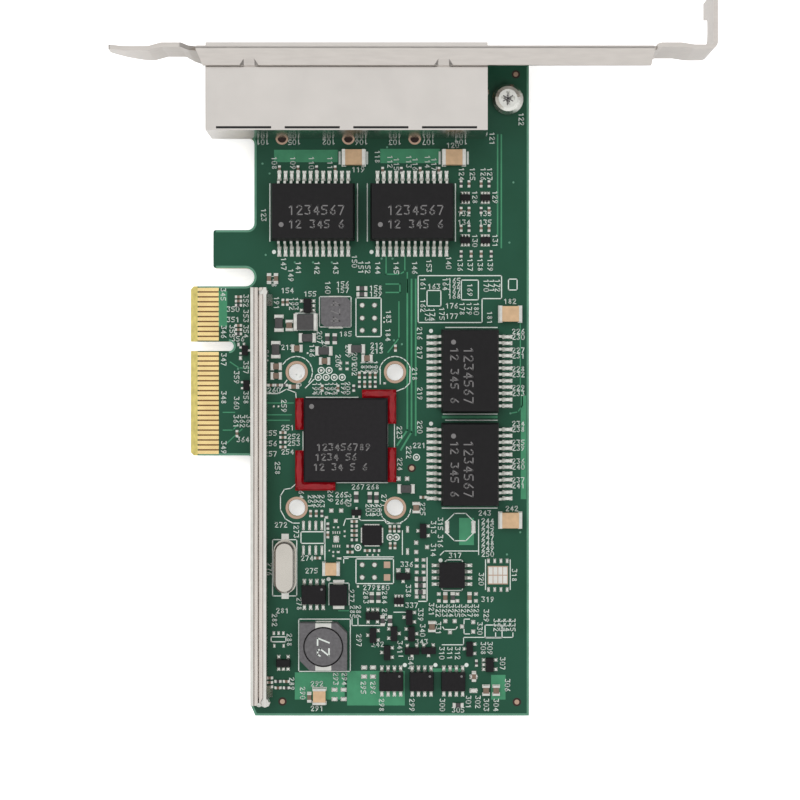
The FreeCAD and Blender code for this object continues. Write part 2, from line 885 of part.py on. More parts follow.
# ---------------------------------------------------------------- main chip
def controller_chip():
    base = block_at(chip_x, chip_y, chip_underside, chip_size, chip_size, chip_base)
    lid_size = chip_size - 2 * chip_lid_inset
    lid = block_at(chip_x, chip_y, chip_underside + chip_base, lid_size, lid_size, chip_lid)
    return single(base.fuse(lid))


def controller_balls():
    """The outer ring of solder balls, which carries the chip's edge."""
    offsets = spread(ball_count, ball_pitch)
    outer = (offsets[0], offsets[-1])
    places = [(i, j) for i in offsets for j in offsets if i in outer or j in outer]
    width = 2 * ball_radius
    return [block_at(chip_x + i, chip_y + j, top, width, width, ball_height) for i, j in places]


def bond(points):
    """A bead of adhesive against the chip: a strip with a chamfered crown."""
    bead = slab(points, top, top + bond_height)
    crown = top + bond_height - bond_chamfer
    edges = [edge for edge in bead.Edges if edge.BoundBox.ZMin > crown]
    return bead.makeChamfer(bond_chamfer, edges)


def corner_bonds():
    """Four beads: two wrap a corner of the chip and two run along a side."""
    half = chip_size / 2
    east = chip_x + half
    west = chip_x - half
    north = chip_y + half
    south = chip_y - half
    out_east = east + bond_width
    out_west = west - bond_width
    out_north = north + bond_width
    out_south = south - bond_width
    upper_right = [
        (east, north), (east, north - bond_short), (out_east, north - bond_short), (out_east, out_north),
        (east - bond_short, out_north), (east - bond_short, north),
    ]
    lower_right = [
        (east, south), (out_east, south), (out_east, south + bond_long), (east, south + bond_long),
    ]
    upper_left = [
        (west, north), (out_west, north), (out_west, north - bond_middle), (west, north - bond_middle),
    ]
    lower_left = [
        (west, south), (west, south + bond_middle), (out_west, south + bond_middle), (out_west, out_south),
        (west + bond_middle, out_south), (west + bond_middle, south),
    ]
    return {
        "corner_bond_upper_right": upper_right,
        "corner_bond_lower_right": lower_right,
        "corner_bond_upper_left": upper_left,
        "corner_bond_lower_left": lower_left,
    }


# ---------------------------------------------------------------- gull-wing parts
def spread(count, pitch):
    """Evenly spaced offsets about zero."""
    return [(n - (count - 1) / 2) * pitch for n in range(count)]


def gull_wing(case_edge, level):
    """One transformer lead along +Y: out of the case, down, and out along the board."""
    bend = module_span / 2 - module_foot
    points = [
        (case_edge, level), (case_edge + module_shoulder, level), (bend, top + module_lead_thickness),
        (module_span / 2, top + module_lead_thickness), (module_span / 2, top),
        (bend - module_lead_thickness, top), (case_edge, level - module_lead_thickness),
    ]
    return side_slab(points, -module_lead / 2, module_lead / 2)


def short_lead(case_edge, level, span, foot, width):
    """One small lead along +Y, with the solder under it: down from the case's parting line to its foot."""
    bend = span / 2 - foot
    points = [
        (case_edge, level), (bend, top + lead_thickness), (span / 2, top + lead_thickness),
        (span / 2, top), (case_edge, top),
    ]
    return side_slab(points, -width / 2, width / 2)


def lead_rows(near, far, lead):
    """Leads at the near offsets on the -Y side and at the far offsets on the +Y side."""
    rows = []
    for x in near:
        row = lead.copy()
        row.rotate(vector(0, 0, 0), vector(0, 0, 1), 180)
        row.translate(vector(x, 0, 0))
        rows.append(row)
    for x in far:
        row = lead.copy()
        row.translate(vector(x, 0, 0))
        rows.append(row)
    return rows


def moulded_case(length, width, height, standoff, draft):
    """A moulded case that narrows above and below its parting line."""
    middle = top + standoff + height / 2

    def section(z, inset):
        corners = [(-length / 2 + inset, -width / 2 + inset), (length / 2 - inset, -width / 2 + inset),
                   (length / 2 - inset, width / 2 - inset), (-length / 2 + inset, width / 2 - inset)]
        return outline(corners, in_plan(z)).OuterWire

    upper = Part.makeLoft([section(middle, 0), section(top + standoff + height, draft)], True, True)
    lower = Part.makeLoft([section(top + standoff, draft), section(middle, 0)], True, True)
    return single(lower.fuse(upper))


def transformer_case():
    return moulded_case(module_length, module_width, module_height, module_standoff, module_draft)


def transformer_leads():
    level = top + module_standoff + module_height / 2
    offsets = spread(module_pins, module_pitch)
    return lead_rows(offsets, offsets, gull_wing(module_width / 2, level))


def small_leads(near, far, case, lead):
    """Leads of a small case; case is (width, height) and lead is (span, foot, width)."""
    width, height = case
    level = top + case_gap + height / 2
    return lead_rows(near, far, short_lead(width / 2, level, *lead))


def memory_leads():
    offsets = spread(4, eight_pin_pitch)
    lead = (memory_span, eight_pin_foot, eight_pin_lead)
    return small_leads(offsets, offsets, (memory_size, memory_height), lead)


def eight_pin_leads():
    offsets = spread(4, eight_pin_pitch)
    lead = (eight_pin_span, eight_pin_foot, eight_pin_lead)
    return small_leads(offsets, offsets, (eight_pin_width, eight_pin_height), lead)


def transistor_leads():
    lead = (transistor_span, transistor_foot, transistor_lead)
    return small_leads(spread(2, 2 * transistor_pitch), [0], (transistor_width, transistor_height), lead)


def gate_leads():
    near = spread(3, transistor_pitch)
    far = spread(2, 2 * transistor_pitch)
    lead = (gate_span, transistor_foot, transistor_lead)
    return small_leads(near, far, (gate_width, transistor_height), lead)


def array_leads():
    offsets = spread(3, array_pitch)
    lead = (array_span, transistor_foot, array_lead)
    return small_leads(offsets, offsets, (array_width, array_height), lead)


# ---------------------------------------------------------------- power parts
def rectifier_tabs():
    tab = (rectifier_span, rectifier_foot, rectifier_tab)
    return small_leads([0], [0], (rectifier_length, rectifier_height), tab)


def regulator_pads():
    """The flush pads that show along the four sides of a leadless chip."""
    pads = []
    reach = (regulator_size + regulator_pad_reach) / 2
    for turns in range(4):
        for offset in spread(regulator_pads_per_side, regulator_pitch):
            pad = block_at(offset, reach, top, regulator_pad, regulator_pad_reach, regulator_pad_height)
            pads.append(placed(pad, (0, 0, turns)))
    return pads


def chamfered_square(size, chamfer):
    """Square outline with its upper right and lower left corners cut off."""
    half = size / 2
    cut = half - chamfer
    return [(-cut, -half), (half, -half), (half, cut), (cut, half), (-half, half), (-half, -cut)]


def inductor_shield():
    shield = slab(chamfered_square(inductor_size, inductor_chamfer), top, top + inductor_height)
    well = round_bar(0, 0, top + inductor_height - inductor_well_depth, inductor_well, inductor_well_depth)
    return single(shield.cut([well] + [clip_seat(turns) for turns in (0, 2)]))


def inductor_drum_core():
    return round_bar(0, 0, top + inductor_height - inductor_well_depth, inductor_drum, inductor_well_depth)


def clip_seat(turns):
    """Room for one clip, on top of the shield and down its side."""
    half = inductor_size / 2
    crown = top + inductor_height
    over = block(-inductor_clip / 2, inductor_clip / 2, half - inductor_clip_reach, half,
                 crown - inductor_clip_wall, crown)
    down = block(-inductor_clip / 2, inductor_clip / 2, half - inductor_clip_wall, half, top, crown)
    return placed(over.fuse(down).removeSplitter(), (0, 0, turns))


def inductor_clips():
    """The two metal clips, folded over the shield, that are the coil's terminals."""
    well = round_bar(0, 0, top, inductor_well, inductor_height)
    return [single(clip_seat(turns).cut(well)) for turns in (0, 2)]


def choke_core():
    return slab(chamfered_square(choke_size, choke_chamfer), top, top + choke_height)


def choke_clips():
    middle = (choke_size + choke_clip_wall) / 2
    clip = block_at(0, middle, top, choke_clip, choke_clip_wall, choke_height / 2)
    return [placed(clip, (0, 0, turns)) for turns in (0, 2)]


# ---------------------------------------------------------------- crystal
def stadium(length, width):
    """A long outline with a many-sided half circle at each end."""
    radius = width / 2
    straight = (length - width) / 2
    points = []
    for end in (1, -1):
        for n in range(crystal_sides + 1):
            angle = math.pi * (n / crystal_sides - 0.5)
            points.append((end * (straight + radius * math.cos(angle)), end * radius * math.sin(angle)))
    return points


def crystal_can():
    foot = top + lead_thickness
    rim_length = crystal_length + 2 * crystal_rim
    rim_width = crystal_width + 2 * crystal_rim
    rim = slab(stadium(rim_length, rim_width), foot, foot + crystal_rim_height)
    crown = top + crystal_height
    can = slab(stadium(crystal_length, crystal_width), foot, crown)
    edges = [edge for edge in can.Edges if edge.BoundBox.ZMin > crown - chip_skin]
    return single(rim.fuse(can.makeChamfer(crystal_bevel, edges)))


def crystal_feet():
    reach = crystal_length / 2 + crystal_rim + crystal_foot_reach
    foot = block(crystal_length / 4, reach, -crystal_foot_width / 2, crystal_foot_width / 2, top,
                 top + lead_thickness)
    return [placed(foot, (0, 0, turns)) for turns in (0, 2)]


# ---------------------------------------------------------------- chip capacitors and resistors
def chip_ceramic(size):
    length, width, height, end = size
    return block_at(0, 0, top + chip_skin, length - 2 * end, width - 2 * chip_skin, height - 2 * chip_skin)


def chip_ends(size):
    length, width, height, end = size
    reach = (length - end) / 2
    return [block_at(side * reach, 0, top, end, width, height) for side in (-1, 1)]


def underside(shapes, places):
    """The same pieces on the solder side."""
    flipped = []
    for shape in all_placed(shapes, places):
        shape.rotate(vector(chip_x, chip_y, 0), vector(0, 1, 0), 180)
        flipped.append(shape)
    return flipped


def decoupling_places():
    offsets = spread(under_count, under_pitch)
    return [(chip_x + i, chip_y + j, 0) for i in offsets for j in offsets]


# ---------------------------------------------------------------- write the nodes
def save_pair(body_name, lead_name, body, leads, places):
    """Write a kind of small part as two nodes: its cases and its metal."""
    save(body_name, all_placed([body], places))
    save(lead_name, all_placed(leads, places))


def save_board_and_bracket():
    save("circuit_board", [circuit_board()])
    save("edge_contacts", edge_contacts())
    save("face_bracket", [face_bracket()])
    save("bracket_screw", [bracket_screw()])
    save("board_stiffener", [board_stiffener()])
    save("stiffener_solder", stiffener_fillets())


def save_jack():
    save("jack_shell", [jack_shell()])
    save("jack_housing", [jack_housing()])
    save("jack_contacts", contact_wires())
    save("link_lights", [light_box(centre - light_offset, light_length) for centre in port_centres])
    save("activity_lights", [light_box(centre + light_offset, light_length) for centre in port_centres])


def save_main_chip():
    save("controller_chip", [controller_chip()])
    save("controller_balls", controller_balls())
    for name, points in corner_bonds().items():
        save(name, [bond(points)])


def save_leaded_parts():
    for n, place in enumerate(module_places(), 1):
        save("transformer_" + str(n), [placed(transformer_case(), place)])
        save("transformer_leads_" + str(n), all_placed(transformer_leads(), [place]))
    memory = moulded_case(memory_size, memory_size, memory_height, case_gap, case_draft)
    save_pair("memory_chip", "memory_leads", memory, memory_leads(), [memory_place])
    eight_pin = moulded_case(eight_pin_length, eight_pin_width, eight_pin_height, case_gap, case_draft)
    save_pair("eight_pin_chips", "eight_pin_leads", eight_pin, eight_pin_leads(), eight_pin_places)
    transistor = block_at(0, 0, top + case_gap, transistor_length, transistor_width, transistor_height)
    save_pair("transistors", "transistor_leads", transistor, transistor_leads(), transistor_places)
    gate = moulded_case(transistor_length, gate_width, transistor_height, case_gap, case_draft)
    save_pair("gate_chips", "gate_leads", gate, gate_leads(), gate_places)
    array = block_at(0, 0, top + case_gap, array_length, array_width, array_height)
    save_pair("diode_arrays", "diode_array_leads", array, array_leads(), array_places)


def save_power_parts():
    rectifier = moulded_case(rectifier_width, rectifier_length, rectifier_height, case_gap, case_draft)
    save_pair("rectifier", "rectifier_tabs", rectifier, rectifier_tabs(), [rectifier_place])
    regulator = block_at(0, 0, top, regulator_size, regulator_size, regulator_height)
    save_pair("regulator_chip", "regulator_pads", regulator, regulator_pads(), [regulator_place])
    save_pair("inductor_shield", "inductor_clips", inductor_shield(), inductor_clips(), [inductor_place])
    save("inductor_drum", [placed(inductor_drum_core(), inductor_place)])
    save_pair("choke_core", "choke_clips", choke_core(), choke_clips(), [choke_place])
    save_pair("crystal_can", "crystal_feet", crystal_can(), crystal_feet(), [crystal_place])


def save_chip_parts():
    save_pair("line_capacitors", "line_capacitor_ends", chip_ceramic(size_1812), chip_ends(size_1812),
              line_capacitor_places)
    save_pair("filter_capacitors", "filter_capacitor_ends", chip_ceramic(size_1210), chip_ends(size_1210),
              filter_capacitor_places)
    save_pair("filter_bead", "filter_bead_ends", chip_ceramic(size_1812), chip_ends(size_1812), [bead_place])
    save_pair("chip_resistors", "chip_resistor_ends", chip_ceramic(size_1206), chip_ends(size_1206),
              resistor_places)
    save_pair("chip_capacitors", "chip_capacitor_ends", chip_ceramic(size_0805), chip_ends(size_0805),
              capacitor_places)
    places = decoupling_places()
    save("decoupling_capacitors", underside([chip_ceramic(size_0603)], places))
    save("decoupling_ends", underside(chip_ends(size_0603), places))


def main():
    os.makedirs("parts", exist_ok=True)
    save_board_and_bracket()
    save_jack()
    save_main_chip()
    save_leaded_parts()
    save_power_parts()
    save_chip_parts()


main()
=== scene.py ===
import json
import math

import bmesh
import bpy
from mathutils import Matrix, Vector


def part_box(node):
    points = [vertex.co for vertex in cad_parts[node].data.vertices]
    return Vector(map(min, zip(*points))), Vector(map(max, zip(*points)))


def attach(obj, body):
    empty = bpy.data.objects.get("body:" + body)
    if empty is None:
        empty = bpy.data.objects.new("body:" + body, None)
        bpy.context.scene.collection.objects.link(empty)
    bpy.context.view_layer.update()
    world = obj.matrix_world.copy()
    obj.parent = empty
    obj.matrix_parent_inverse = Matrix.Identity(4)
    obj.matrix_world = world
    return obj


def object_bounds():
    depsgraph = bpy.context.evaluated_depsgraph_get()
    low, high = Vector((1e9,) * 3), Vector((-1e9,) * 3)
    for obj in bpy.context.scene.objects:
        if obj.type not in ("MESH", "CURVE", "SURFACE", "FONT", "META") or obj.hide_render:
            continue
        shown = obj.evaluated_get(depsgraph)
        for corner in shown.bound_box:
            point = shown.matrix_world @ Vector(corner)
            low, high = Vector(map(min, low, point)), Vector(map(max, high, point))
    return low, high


bl_info = {
    "name": "Network interface card",
    "version": (1, 0, 0),
    "blender": (4, 5, 0),
    "location": "View3D > Sidebar > Card",
    "description": "Finishes, solder, print and small parts of a four-port network interface card",
    "category": "Object",
}

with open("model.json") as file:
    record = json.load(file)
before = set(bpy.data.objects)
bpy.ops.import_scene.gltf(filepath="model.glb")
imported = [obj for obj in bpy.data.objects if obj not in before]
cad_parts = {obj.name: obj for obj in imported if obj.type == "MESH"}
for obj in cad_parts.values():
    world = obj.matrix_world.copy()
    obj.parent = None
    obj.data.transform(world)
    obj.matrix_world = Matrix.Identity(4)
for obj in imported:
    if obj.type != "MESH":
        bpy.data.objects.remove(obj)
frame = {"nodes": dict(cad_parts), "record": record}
cad_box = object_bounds()

MM = 0.001

# ---------------------------------------------------------------- places taken from the frame, in millimetres


def node_box(name):
    """Lowest and highest corner of a CAD node, in millimetres."""
    low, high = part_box(name)
    return low / MM, high / MM


board_low, board_high = node_box("circuit_board")
TOP = board_high.z
UNDER = board_low.z
BOARD_RIGHT = board_high.x
stiffener_low, stiffener_high = node_box("board_stiffener")
chip_low, chip_high = node_box("controller_chip")
CHIP = (chip_low + chip_high) / 2
jack_low, _ = node_box("jack_shell")
screw_low, screw_high = node_box("bracket_screw")
SCREW = (screw_low + screw_high) / 2
contact_low, contact_high = node_box("edge_contacts")


# ---------------------------------------------------------------- sizes and colours a user may change
def colour(name, description, value):
    """A colour setting, given as plain display values from 0 to 255."""
    return bpy.props.FloatVectorProperty(
        name=name, description=description, subtype="COLOR", size=3, min=0, max=1,
        default=[linear(part / 255) for part in value],
    )


def length(name, description, value):
    """A length setting in millimetres."""
    return bpy.props.FloatProperty(name=name, description=description, default=value, min=0, soft_max=5)


def linear(part):
    """A display value turned into the linear value that shaders use."""
    if part <= 0.04045:
        return part / 12.92
    return ((part + 0.055) / 1.055) ** 2.4


class BoardSettings(bpy.types.PropertyGroup):
    mask: colour("Solder mask", "Green lacquer over the board", (32, 79, 60))
    mask_dark: colour("Mask shadow", "Darker areas of the lacquer", (27, 72, 52))
    plane: colour("Mask over copper", "Lacquer where a copper plane shines through", (70, 140, 104))
    rim: colour("Mask over bare laminate", "Lacquer along the board's edges", (96, 146, 122))
    laminate: colour("Laminate", "Cut edges of the board", (222, 206, 122))
    print_ink: colour("Print", "White print on the board", (222, 228, 222))
    # grey marks on the cases, and also the painted shade of the star in the bracket's screw
    mark_ink: colour("Case marks", "Grey marks on the cases", (122, 120, 120))
    copper_height: length("Copper height", "Height of covered copper above the board, in millimetres", 0.02)
    print_height: length("Print height", "Height of the print above the board, in millimetres", 0.035)
    pad_height: length("Pad height", "Height of tinned pads above the board, in millimetres", 0.05)
    pad_margin: length("Pad margin", "How far a pad reaches past its lead, in millimetres", 0.14)
    bond_width: length("Bond width", "Width of the adhesive beads at the chip's corners, in millimetres", 1.6)
    rim_width: length("Rim width", "Width of the pale band inside the outline, in millimetres", 0.45)
    arc_radius: length("Arc radius", "Printed arcs round the cooler's holes, in millimetres", 3.2)
    number_size: length("Number height", "Height of the printed numbers, in millimetres", 0.95)
    number_stroke: length("Number stroke", "Width of their strokes, in millimetres", 0.15)


class MetalSettings(bpy.types.PropertyGroup):
    tin: colour("Tin", "Tinned leads and pads", (214, 214, 208))
    gold: colour("Gold", "Gold plating of the edge contacts", (252, 222, 158))
    copper: colour("Copper", "Bare rings around the board's holes", (190, 162, 142))
    flux: colour("Flux", "Brown residue between the edge contacts", (112, 72, 22))
    # painted shade inside the leg holes and in the stiffener's grooves; the same colour rings the marks for
    # machines
    hole: colour("Holes", "Dark insides of holes and seams", (44, 26, 20))
    bracket: colour("Bracket", "Plated sheet steel of the face bracket", (214, 208, 202))
    shield: colour("Shield", "Tinned metal around the ports", (217, 212, 207))
    stiffener: colour("Stiffener", "Tinned channel along the board's edge", (222, 214, 206))
    can: colour("Crystal can", "Nickel-plated can of the crystal", (208, 203, 194))


class PlasticSettings(bpy.types.PropertyGroup):
    case: colour("Chip case", "Moulded cases of the chips", (29, 27, 29))
    module: colour("Module case", "Moulded cases of the transformers", (26, 25, 26))
    housing: colour("Port housing", "Moulded insert behind the port mouths", (26, 26, 27))
    adhesive: colour("Adhesive", "Corner bonds of the main chip", (144, 8, 20))
    green_light: colour("Link light", "Green light pipes", (176, 222, 160))
    amber_light: colour("Activity light", "Amber light pipes", (236, 206, 142))


class CeramicSettings(bpy.types.PropertyGroup):
    tan: colour("Tan ceramic", "Large capacitors", (208, 174, 136))
    brown: colour("Brown ceramic", "Small capacitors", (120, 100, 84))
    dark: colour("Dark ceramic", "Resistors and beads", (64, 62, 62))
    ferrite: colour("Ferrite", "Inductor cores", (98, 96, 98))


class StageSettings(bpy.types.PropertyGroup):
    camera_height: bpy.props.FloatProperty(
        name="Camera height", description="Camera above the board", default=0.390, min=0.1, unit="LENGTH",
    )
    lens: bpy.props.FloatProperty(
        name="Lens", description="Focal length in millimetres", default=86.6, min=10,
    )
    floor: colour("Floor", "Plain floor and background", (255, 255, 255))
    key_power: bpy.props.FloatProperty(
        name="Key light", description="Power of the large soft lamp", default=5.0, min=0, unit="POWER",
    )
    sky: bpy.props.FloatProperty(
        name="Sky", description="Strength of the white surroundings", default=0.62, min=0,
    )
    glow: bpy.props.FloatProperty(
        name="Floor glow", description="Light the floor adds of itself", default=0.55, min=0,
    )


# ---------------------------------------------------------------- materials
FINISH_PREFIX = "card_"    # keeps the finishes apart from the plain materials that the frame brings along
BUMP_HEIGHT = 0.00002      # height of all fine grain, in metres
DULL_SPECULAR = 0.2        # lacquer and print, which mirror little
WEAVE_SCALE = 420          # glass threads to the metre
GLOSS_RANGE = (-0.07, 0.09)    # how far roughness strays from its value
FLAT_NORMAL = 0.995        # faces steeper than this are cut edges of the board


def shader(name):
    """An empty material with its node tree and principled shader."""
    made = bpy.data.materials.new(FINISH_PREFIX + name)
    made.use_nodes = True
    return made, made.node_tree, made.node_tree.nodes["Principled BSDF"]


def feed(tree, node, sockets):
    """Set a node's inputs to values, or join them to the outputs of other nodes."""
    for name, value in sockets.items():
        if isinstance(value, bpy.types.NodeSocket):
            tree.links.new(value, node.inputs[name])
        else:
            node.inputs[name].default_value = value


def add(tree, kind, sockets, **values):
    """A new node with its inputs and settings."""
    node = tree.nodes.new(kind)
    for name, value in values.items():
        setattr(node, name, value)
    feed(tree, node, sockets)
    return node


def on_object(tree):
    """Places that stay on the object."""
    return add(tree, "ShaderNodeTexCoord", {}).outputs["Object"]


def object_noise(tree, scale, detail=3.0, stretch=None):
    """Noise that stays on the object; scale counts features to the metre."""
    where = on_object(tree)
    if stretch:
        where = add(tree, "ShaderNodeMapping", {"Vector": where, "Scale": stretch}).outputs["Vector"]
    return add(tree, "ShaderNodeTexNoise", {"Vector": where, "Scale": scale, "Detail": detail}).outputs["Fac"]


def ramp(tree, source, stops):
    """A colour ramp over a value; stops are (position, colour)."""
    node = add(tree, "ShaderNodeValToRGB", {"Fac": source})
    elements = node.color_ramp.elements
    elements[0].position, elements[0].color = stops[0][0], (*stops[0][1], 1)
    elements[1].position, elements[1].color = stops[-1][0], (*stops[-1][1], 1)
    for position, tint in stops[1:-1]:
        elements.new(position).color = (*tint, 1)
    return node.outputs["Color"]


def spread(tree, source, low, high):
    """A value from 0 to 1 stretched to a range."""
    return add(tree, "ShaderNodeMapRange", {"Value": source, "To Min": low, "To Max": high}).outputs["Result"]


def mix(tree, factor, first, second):
    """One colour, or another where the factor is 1."""
    sockets = {"Factor": factor, "A": first, "B": second}
    return add(tree, "ShaderNodeMix", sockets, data_type="RGBA").outputs["Result"]


def bump(tree, source, strength):
    """Fine grain on a surface."""
    sockets = {"Height": source, "Strength": strength, "Distance": BUMP_HEIGHT}
    return add(tree, "ShaderNodeBump", sockets).outputs["Normal"]


def shade(tint, factor):
    """A lighter or darker tint, at most white."""
    return [min(part * factor, 1) for part in tint]


def grained(name, tint, variation, roughness, metallic, scale, grain, specular=0.5, stretch=None):
    """A finish with mottled colour, uneven gloss and a fine grain."""
    made, tree, principled = shader(name)
    stops = [(0.3, shade(tint, 1 - variation)), (0.7, shade(tint, 1 + variation * 0.6))]
    fine = object_noise(tree, scale * 9, 2.0, stretch)
    feed(tree, principled, {
        "Base Color": ramp(tree, object_noise(tree, scale, 3.0, stretch), stops),
        "Roughness": spread(tree, fine, *[roughness + shift for shift in GLOSS_RANGE]),
        "Normal": bump(tree, fine, grain), "Metallic": metallic, "Specular IOR Level": specular,
    })
    return made


def weave(tree, direction):
    """Glass threads that run one way."""
    sockets = {"Vector": on_object(tree), "Scale": WEAVE_SCALE, "Distortion": 1.4}
    wave = add(tree, "ShaderNodeTexWave", sockets, wave_type="BANDS", bands_direction=direction)
    return wave.outputs["Fac"]


def maths(tree, operation, first, second=0.5):
    """The result of one sum."""
    return add(tree, "ShaderNodeMath", {0: first, 1: second}, operation=operation).outputs["Value"]


def mask_material(board):
    """Green lacquer with glass weave showing faintly, and pale laminate on every cut edge."""
    made, tree, principled = shader("board_lacquer")
    lacquer = ramp(tree, object_noise(tree, 55, 4.0), [(0.36, board.mask_dark), (0.62, board.mask)])
    fibres = ramp(tree, object_noise(tree, 900, 3.0, (1, 1, 6)),
                  [(0.3, shade(board.laminate, 0.72)), (0.7, board.laminate)])
    normal = add(tree, "ShaderNodeNewGeometry", {}).outputs["True Normal"]
    level = add(tree, "ShaderNodeSeparateXYZ", {"Vector": normal}).outputs["Z"]
    flat = maths(tree, "GREATER_THAN", maths(tree, "ABSOLUTE", level), FLAT_NORMAL)
    threads = maths(tree, "MULTIPLY", weave(tree, "X"), weave(tree, "Y"))
    feed(tree, principled, {
        "Base Color": mix(tree, flat, fibres, lacquer),
        "Roughness": spread(tree, object_noise(tree, 700, 3.0), 0.3, 0.46),
        "Normal": bump(tree, threads, 0.12), "Specular IOR Level": DULL_SPECULAR,
    })
    return made


# finish: settings group, colour, shade, variation, roughness, metallic, scale, grain, specular and stretch
FINISHES = {
    "contact_gold": ("metal", "gold", 1, 0.1, 0.26, 1, 300, 0.1),
    "bracket_steel": ("metal", "bracket", 1, 0.05, 0.34, 1, 260, 0.15, 0.5, (1, 6, 6)),
    "screw_steel": ("metal", "tin", 1.04, 0.08, 0.2, 1, 500, 0.3),
    "jack_metal": ("metal", "shield", 1, 0.04, 0.2, 1, 160, 0.1),
    "stiffener_steel": ("metal", "stiffener", 1, 0.1, 0.25, 1, 240, 0.15, 0.5, (6, 1, 6)),
    "crystal_steel": ("metal", "can", 1, 0.06, 0.24, 1, 200, 0.12),
    "solder": ("metal", "tin", 1, 0.12, 0.25, 1, 700, 0.25),
    "tinned_lead": ("metal", "tin", 1, 0.1, 0.33, 1, 900, 0.2),
    "end_cap": ("metal", "tin", 1, 0.12, 0.34, 1, 1200, 0.3),
    # a lighter copy of tin: tin on the leadless chip's cells, and painted highlights on the stiffener's edges
    "tin_glint": ("metal", "tin", 1.1, 0.08, 0.3, 1, 600, 0.3),
    "ring_copper": ("metal", "copper", 1, 0.1, 0.35, 1, 500, 0.2),
    "dark_flux": ("metal", "flux", 1, 0.3, 0.5, 0, 900, 0.2),
    "hole_shadow": ("metal", "hole", 1, 0.3, 0.7, 0, 900, 0.2),
    "jack_plastic": ("plastic", "housing", 1, 0.2, 0.55, 0, 900, 0.3),
    "light_green": ("plastic", "green_light", 1, 0.08, 0.2, 0, 600, 0.05),
    "light_amber": ("plastic", "amber_light", 1, 0.08, 0.2, 0, 600, 0.05),
    "chip_mould": ("plastic", "case", 1, 0.16, 0.5, 0, 1400, 0.35, 0.22),
    "small_chip_mould": ("plastic", "case", 0.7, 0.2, 0.52, 0, 1800, 0.35, 0.22),
    "transformer_mould": ("plastic", "module", 1, 0.14, 0.58, 0, 1100, 0.35, 0.22),
    "adhesive": ("plastic", "adhesive", 1, 0.22, 0.2, 0, 700, 0.3, 0.4),
    "ferrite": ("ceramic", "ferrite", 1, 0.22, 0.6, 0, 1500, 0.4),
    "ceramic_tan": ("ceramic", "tan", 1, 0.12, 0.45, 0, 900, 0.25),
    "ceramic_dark": ("ceramic", "dark", 1, 0.2, 0.4, 0, 1500, 0.25),
    "ceramic_brown": ("ceramic", "brown", 1, 0.18, 0.42, 0, 1500, 0.25),
    "covered_copper": ("board", "plane", 1, 0.12, 0.38, 0, 400, 0.1, DULL_SPECULAR),
    "covered_rim": ("board", "rim", 1, 0.12, 0.4, 0, 400, 0.1, DULL_SPECULAR),
    "print_ink": ("board", "print_ink", 1, 0.06, 0.6, 0, 1500, 0.2, 0.3),
    "mark_ink": ("board", "mark_ink", 1, 0.06, 0.6, 0, 1500, 0.2, 0.3),
}


def make_materials():
    """Every finish of the card, by the name of the record's material slot or of the scene's own pieces."""
    scene = bpy.context.scene
    made = {"board_laminate": mask_material(scene.card_board)}
    for name, (group, tint, factor, *values) in FINISHES.items():
        made[name] = grained(name, shade(getattr(getattr(scene, "card_" + group), tint), factor), *values)
    return made


# ---------------------------------------------------------------- mesh helpers, in millimetres
def finish_piece(name, mesh, finish):
    """Turn a bmesh in millimetres into a finished piece that rides on the card."""
    bmesh.ops.recalc_face_normals(mesh, faces=mesh.faces)
    bmesh.ops.scale(mesh, vec=(MM, MM, MM), verts=mesh.verts)
    data = bpy.data.meshes.new(name)
    mesh.to_mesh(data)
    mesh.free()
    data.materials.append(bpy.data.materials[FINISH_PREFIX + finish])
    piece = bpy.data.objects.new(name, data)
    bpy.context.scene.collection.objects.link(piece)
    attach(piece, "root")


def slab(mesh, x0, x1, y0, y1, z0, z1):
    """A box between two corners."""
    size = Matrix.Diagonal((x1 - x0, y1 - y0, z1 - z0, 1))
    place = Matrix.Translation(((x0 + x1) / 2, (y0 + y1) / 2, (z0 + z1) / 2))
    bmesh.ops.create_cube(mesh, size=1, matrix=place @ size)


def patch(mesh, x, y, length, width, z0, z1):
    """A box given by the middle of its plan."""
    slab(mesh, x - length / 2, x + length / 2, y - width / 2, y + width / 2, z0, z1)


def line(mesh, points, width, z0, z1):
    """A flat line through points; each stroke ends half a width past its points."""
    for start, end in zip(points, points[1:]):
        start, end = Vector(start), Vector(end)
        run = end - start
        middle = (start + end) / 2
        turn = Matrix.Rotation(math.atan2(run.y, run.x), 4, "Z")
        place = Matrix.Translation((middle.x, middle.y, (z0 + z1) / 2))
        size = Matrix.Diagonal((run.length + width, width, z1 - z0, 1))
        bmesh.ops.create_cube(mesh, size=1, matrix=place @ turn @ size)


def frame_line(mesh, x0, x1, y0, y1, width, z0, z1):
    """A rectangle drawn with a line."""
    line(mesh, [(x0, y0), (x1, y0), (x1, y1), (x0, y1), (x0, y0)], width, z0, z1)


def arc_points(x, y, radius, start, end, steps=10):
    """Points on an arc about a middle, with angles in degrees."""
    angles = [math.radians(start + (end - start) * n / steps) for n in range(steps + 1)]
    return [(x + radius * math.cos(angle), y + radius * math.sin(angle)) for angle in angles]


def disc(mesh, x, y, z0, z1, radius, sides=12):
    """A flat disc."""
    bmesh.ops.create_cone(
        mesh, cap_ends=True, segments=sides, radius1=radius, radius2=radius, depth=z1 - z0,
        matrix=Matrix.Translation((x, y, (z0 + z1) / 2)),
    )


def ring(mesh, x, y, z0, z1, inner, outer, sides=32):
    """A flat ring."""
    place = Matrix.Translation((x, y, z0))
    edges = []
    for radius in (inner, outer):
        made = bmesh.ops.create_circle(mesh, segments=sides, radius=radius, matrix=place)
        edges += list({edge for vert in made["verts"] for edge in vert.link_edges})
    faces = bmesh.ops.bridge_loops(mesh, edges=edges)["faces"]
    raised = bmesh.ops.extrude_face_region(mesh, geom=faces, use_keep_orig=True)
    verts = [item for item in raised["geom"] if isinstance(item, bmesh.types.BMVert)]
    bmesh.ops.translate(mesh, vec=(0, 0, z1 - z0), verts=verts)


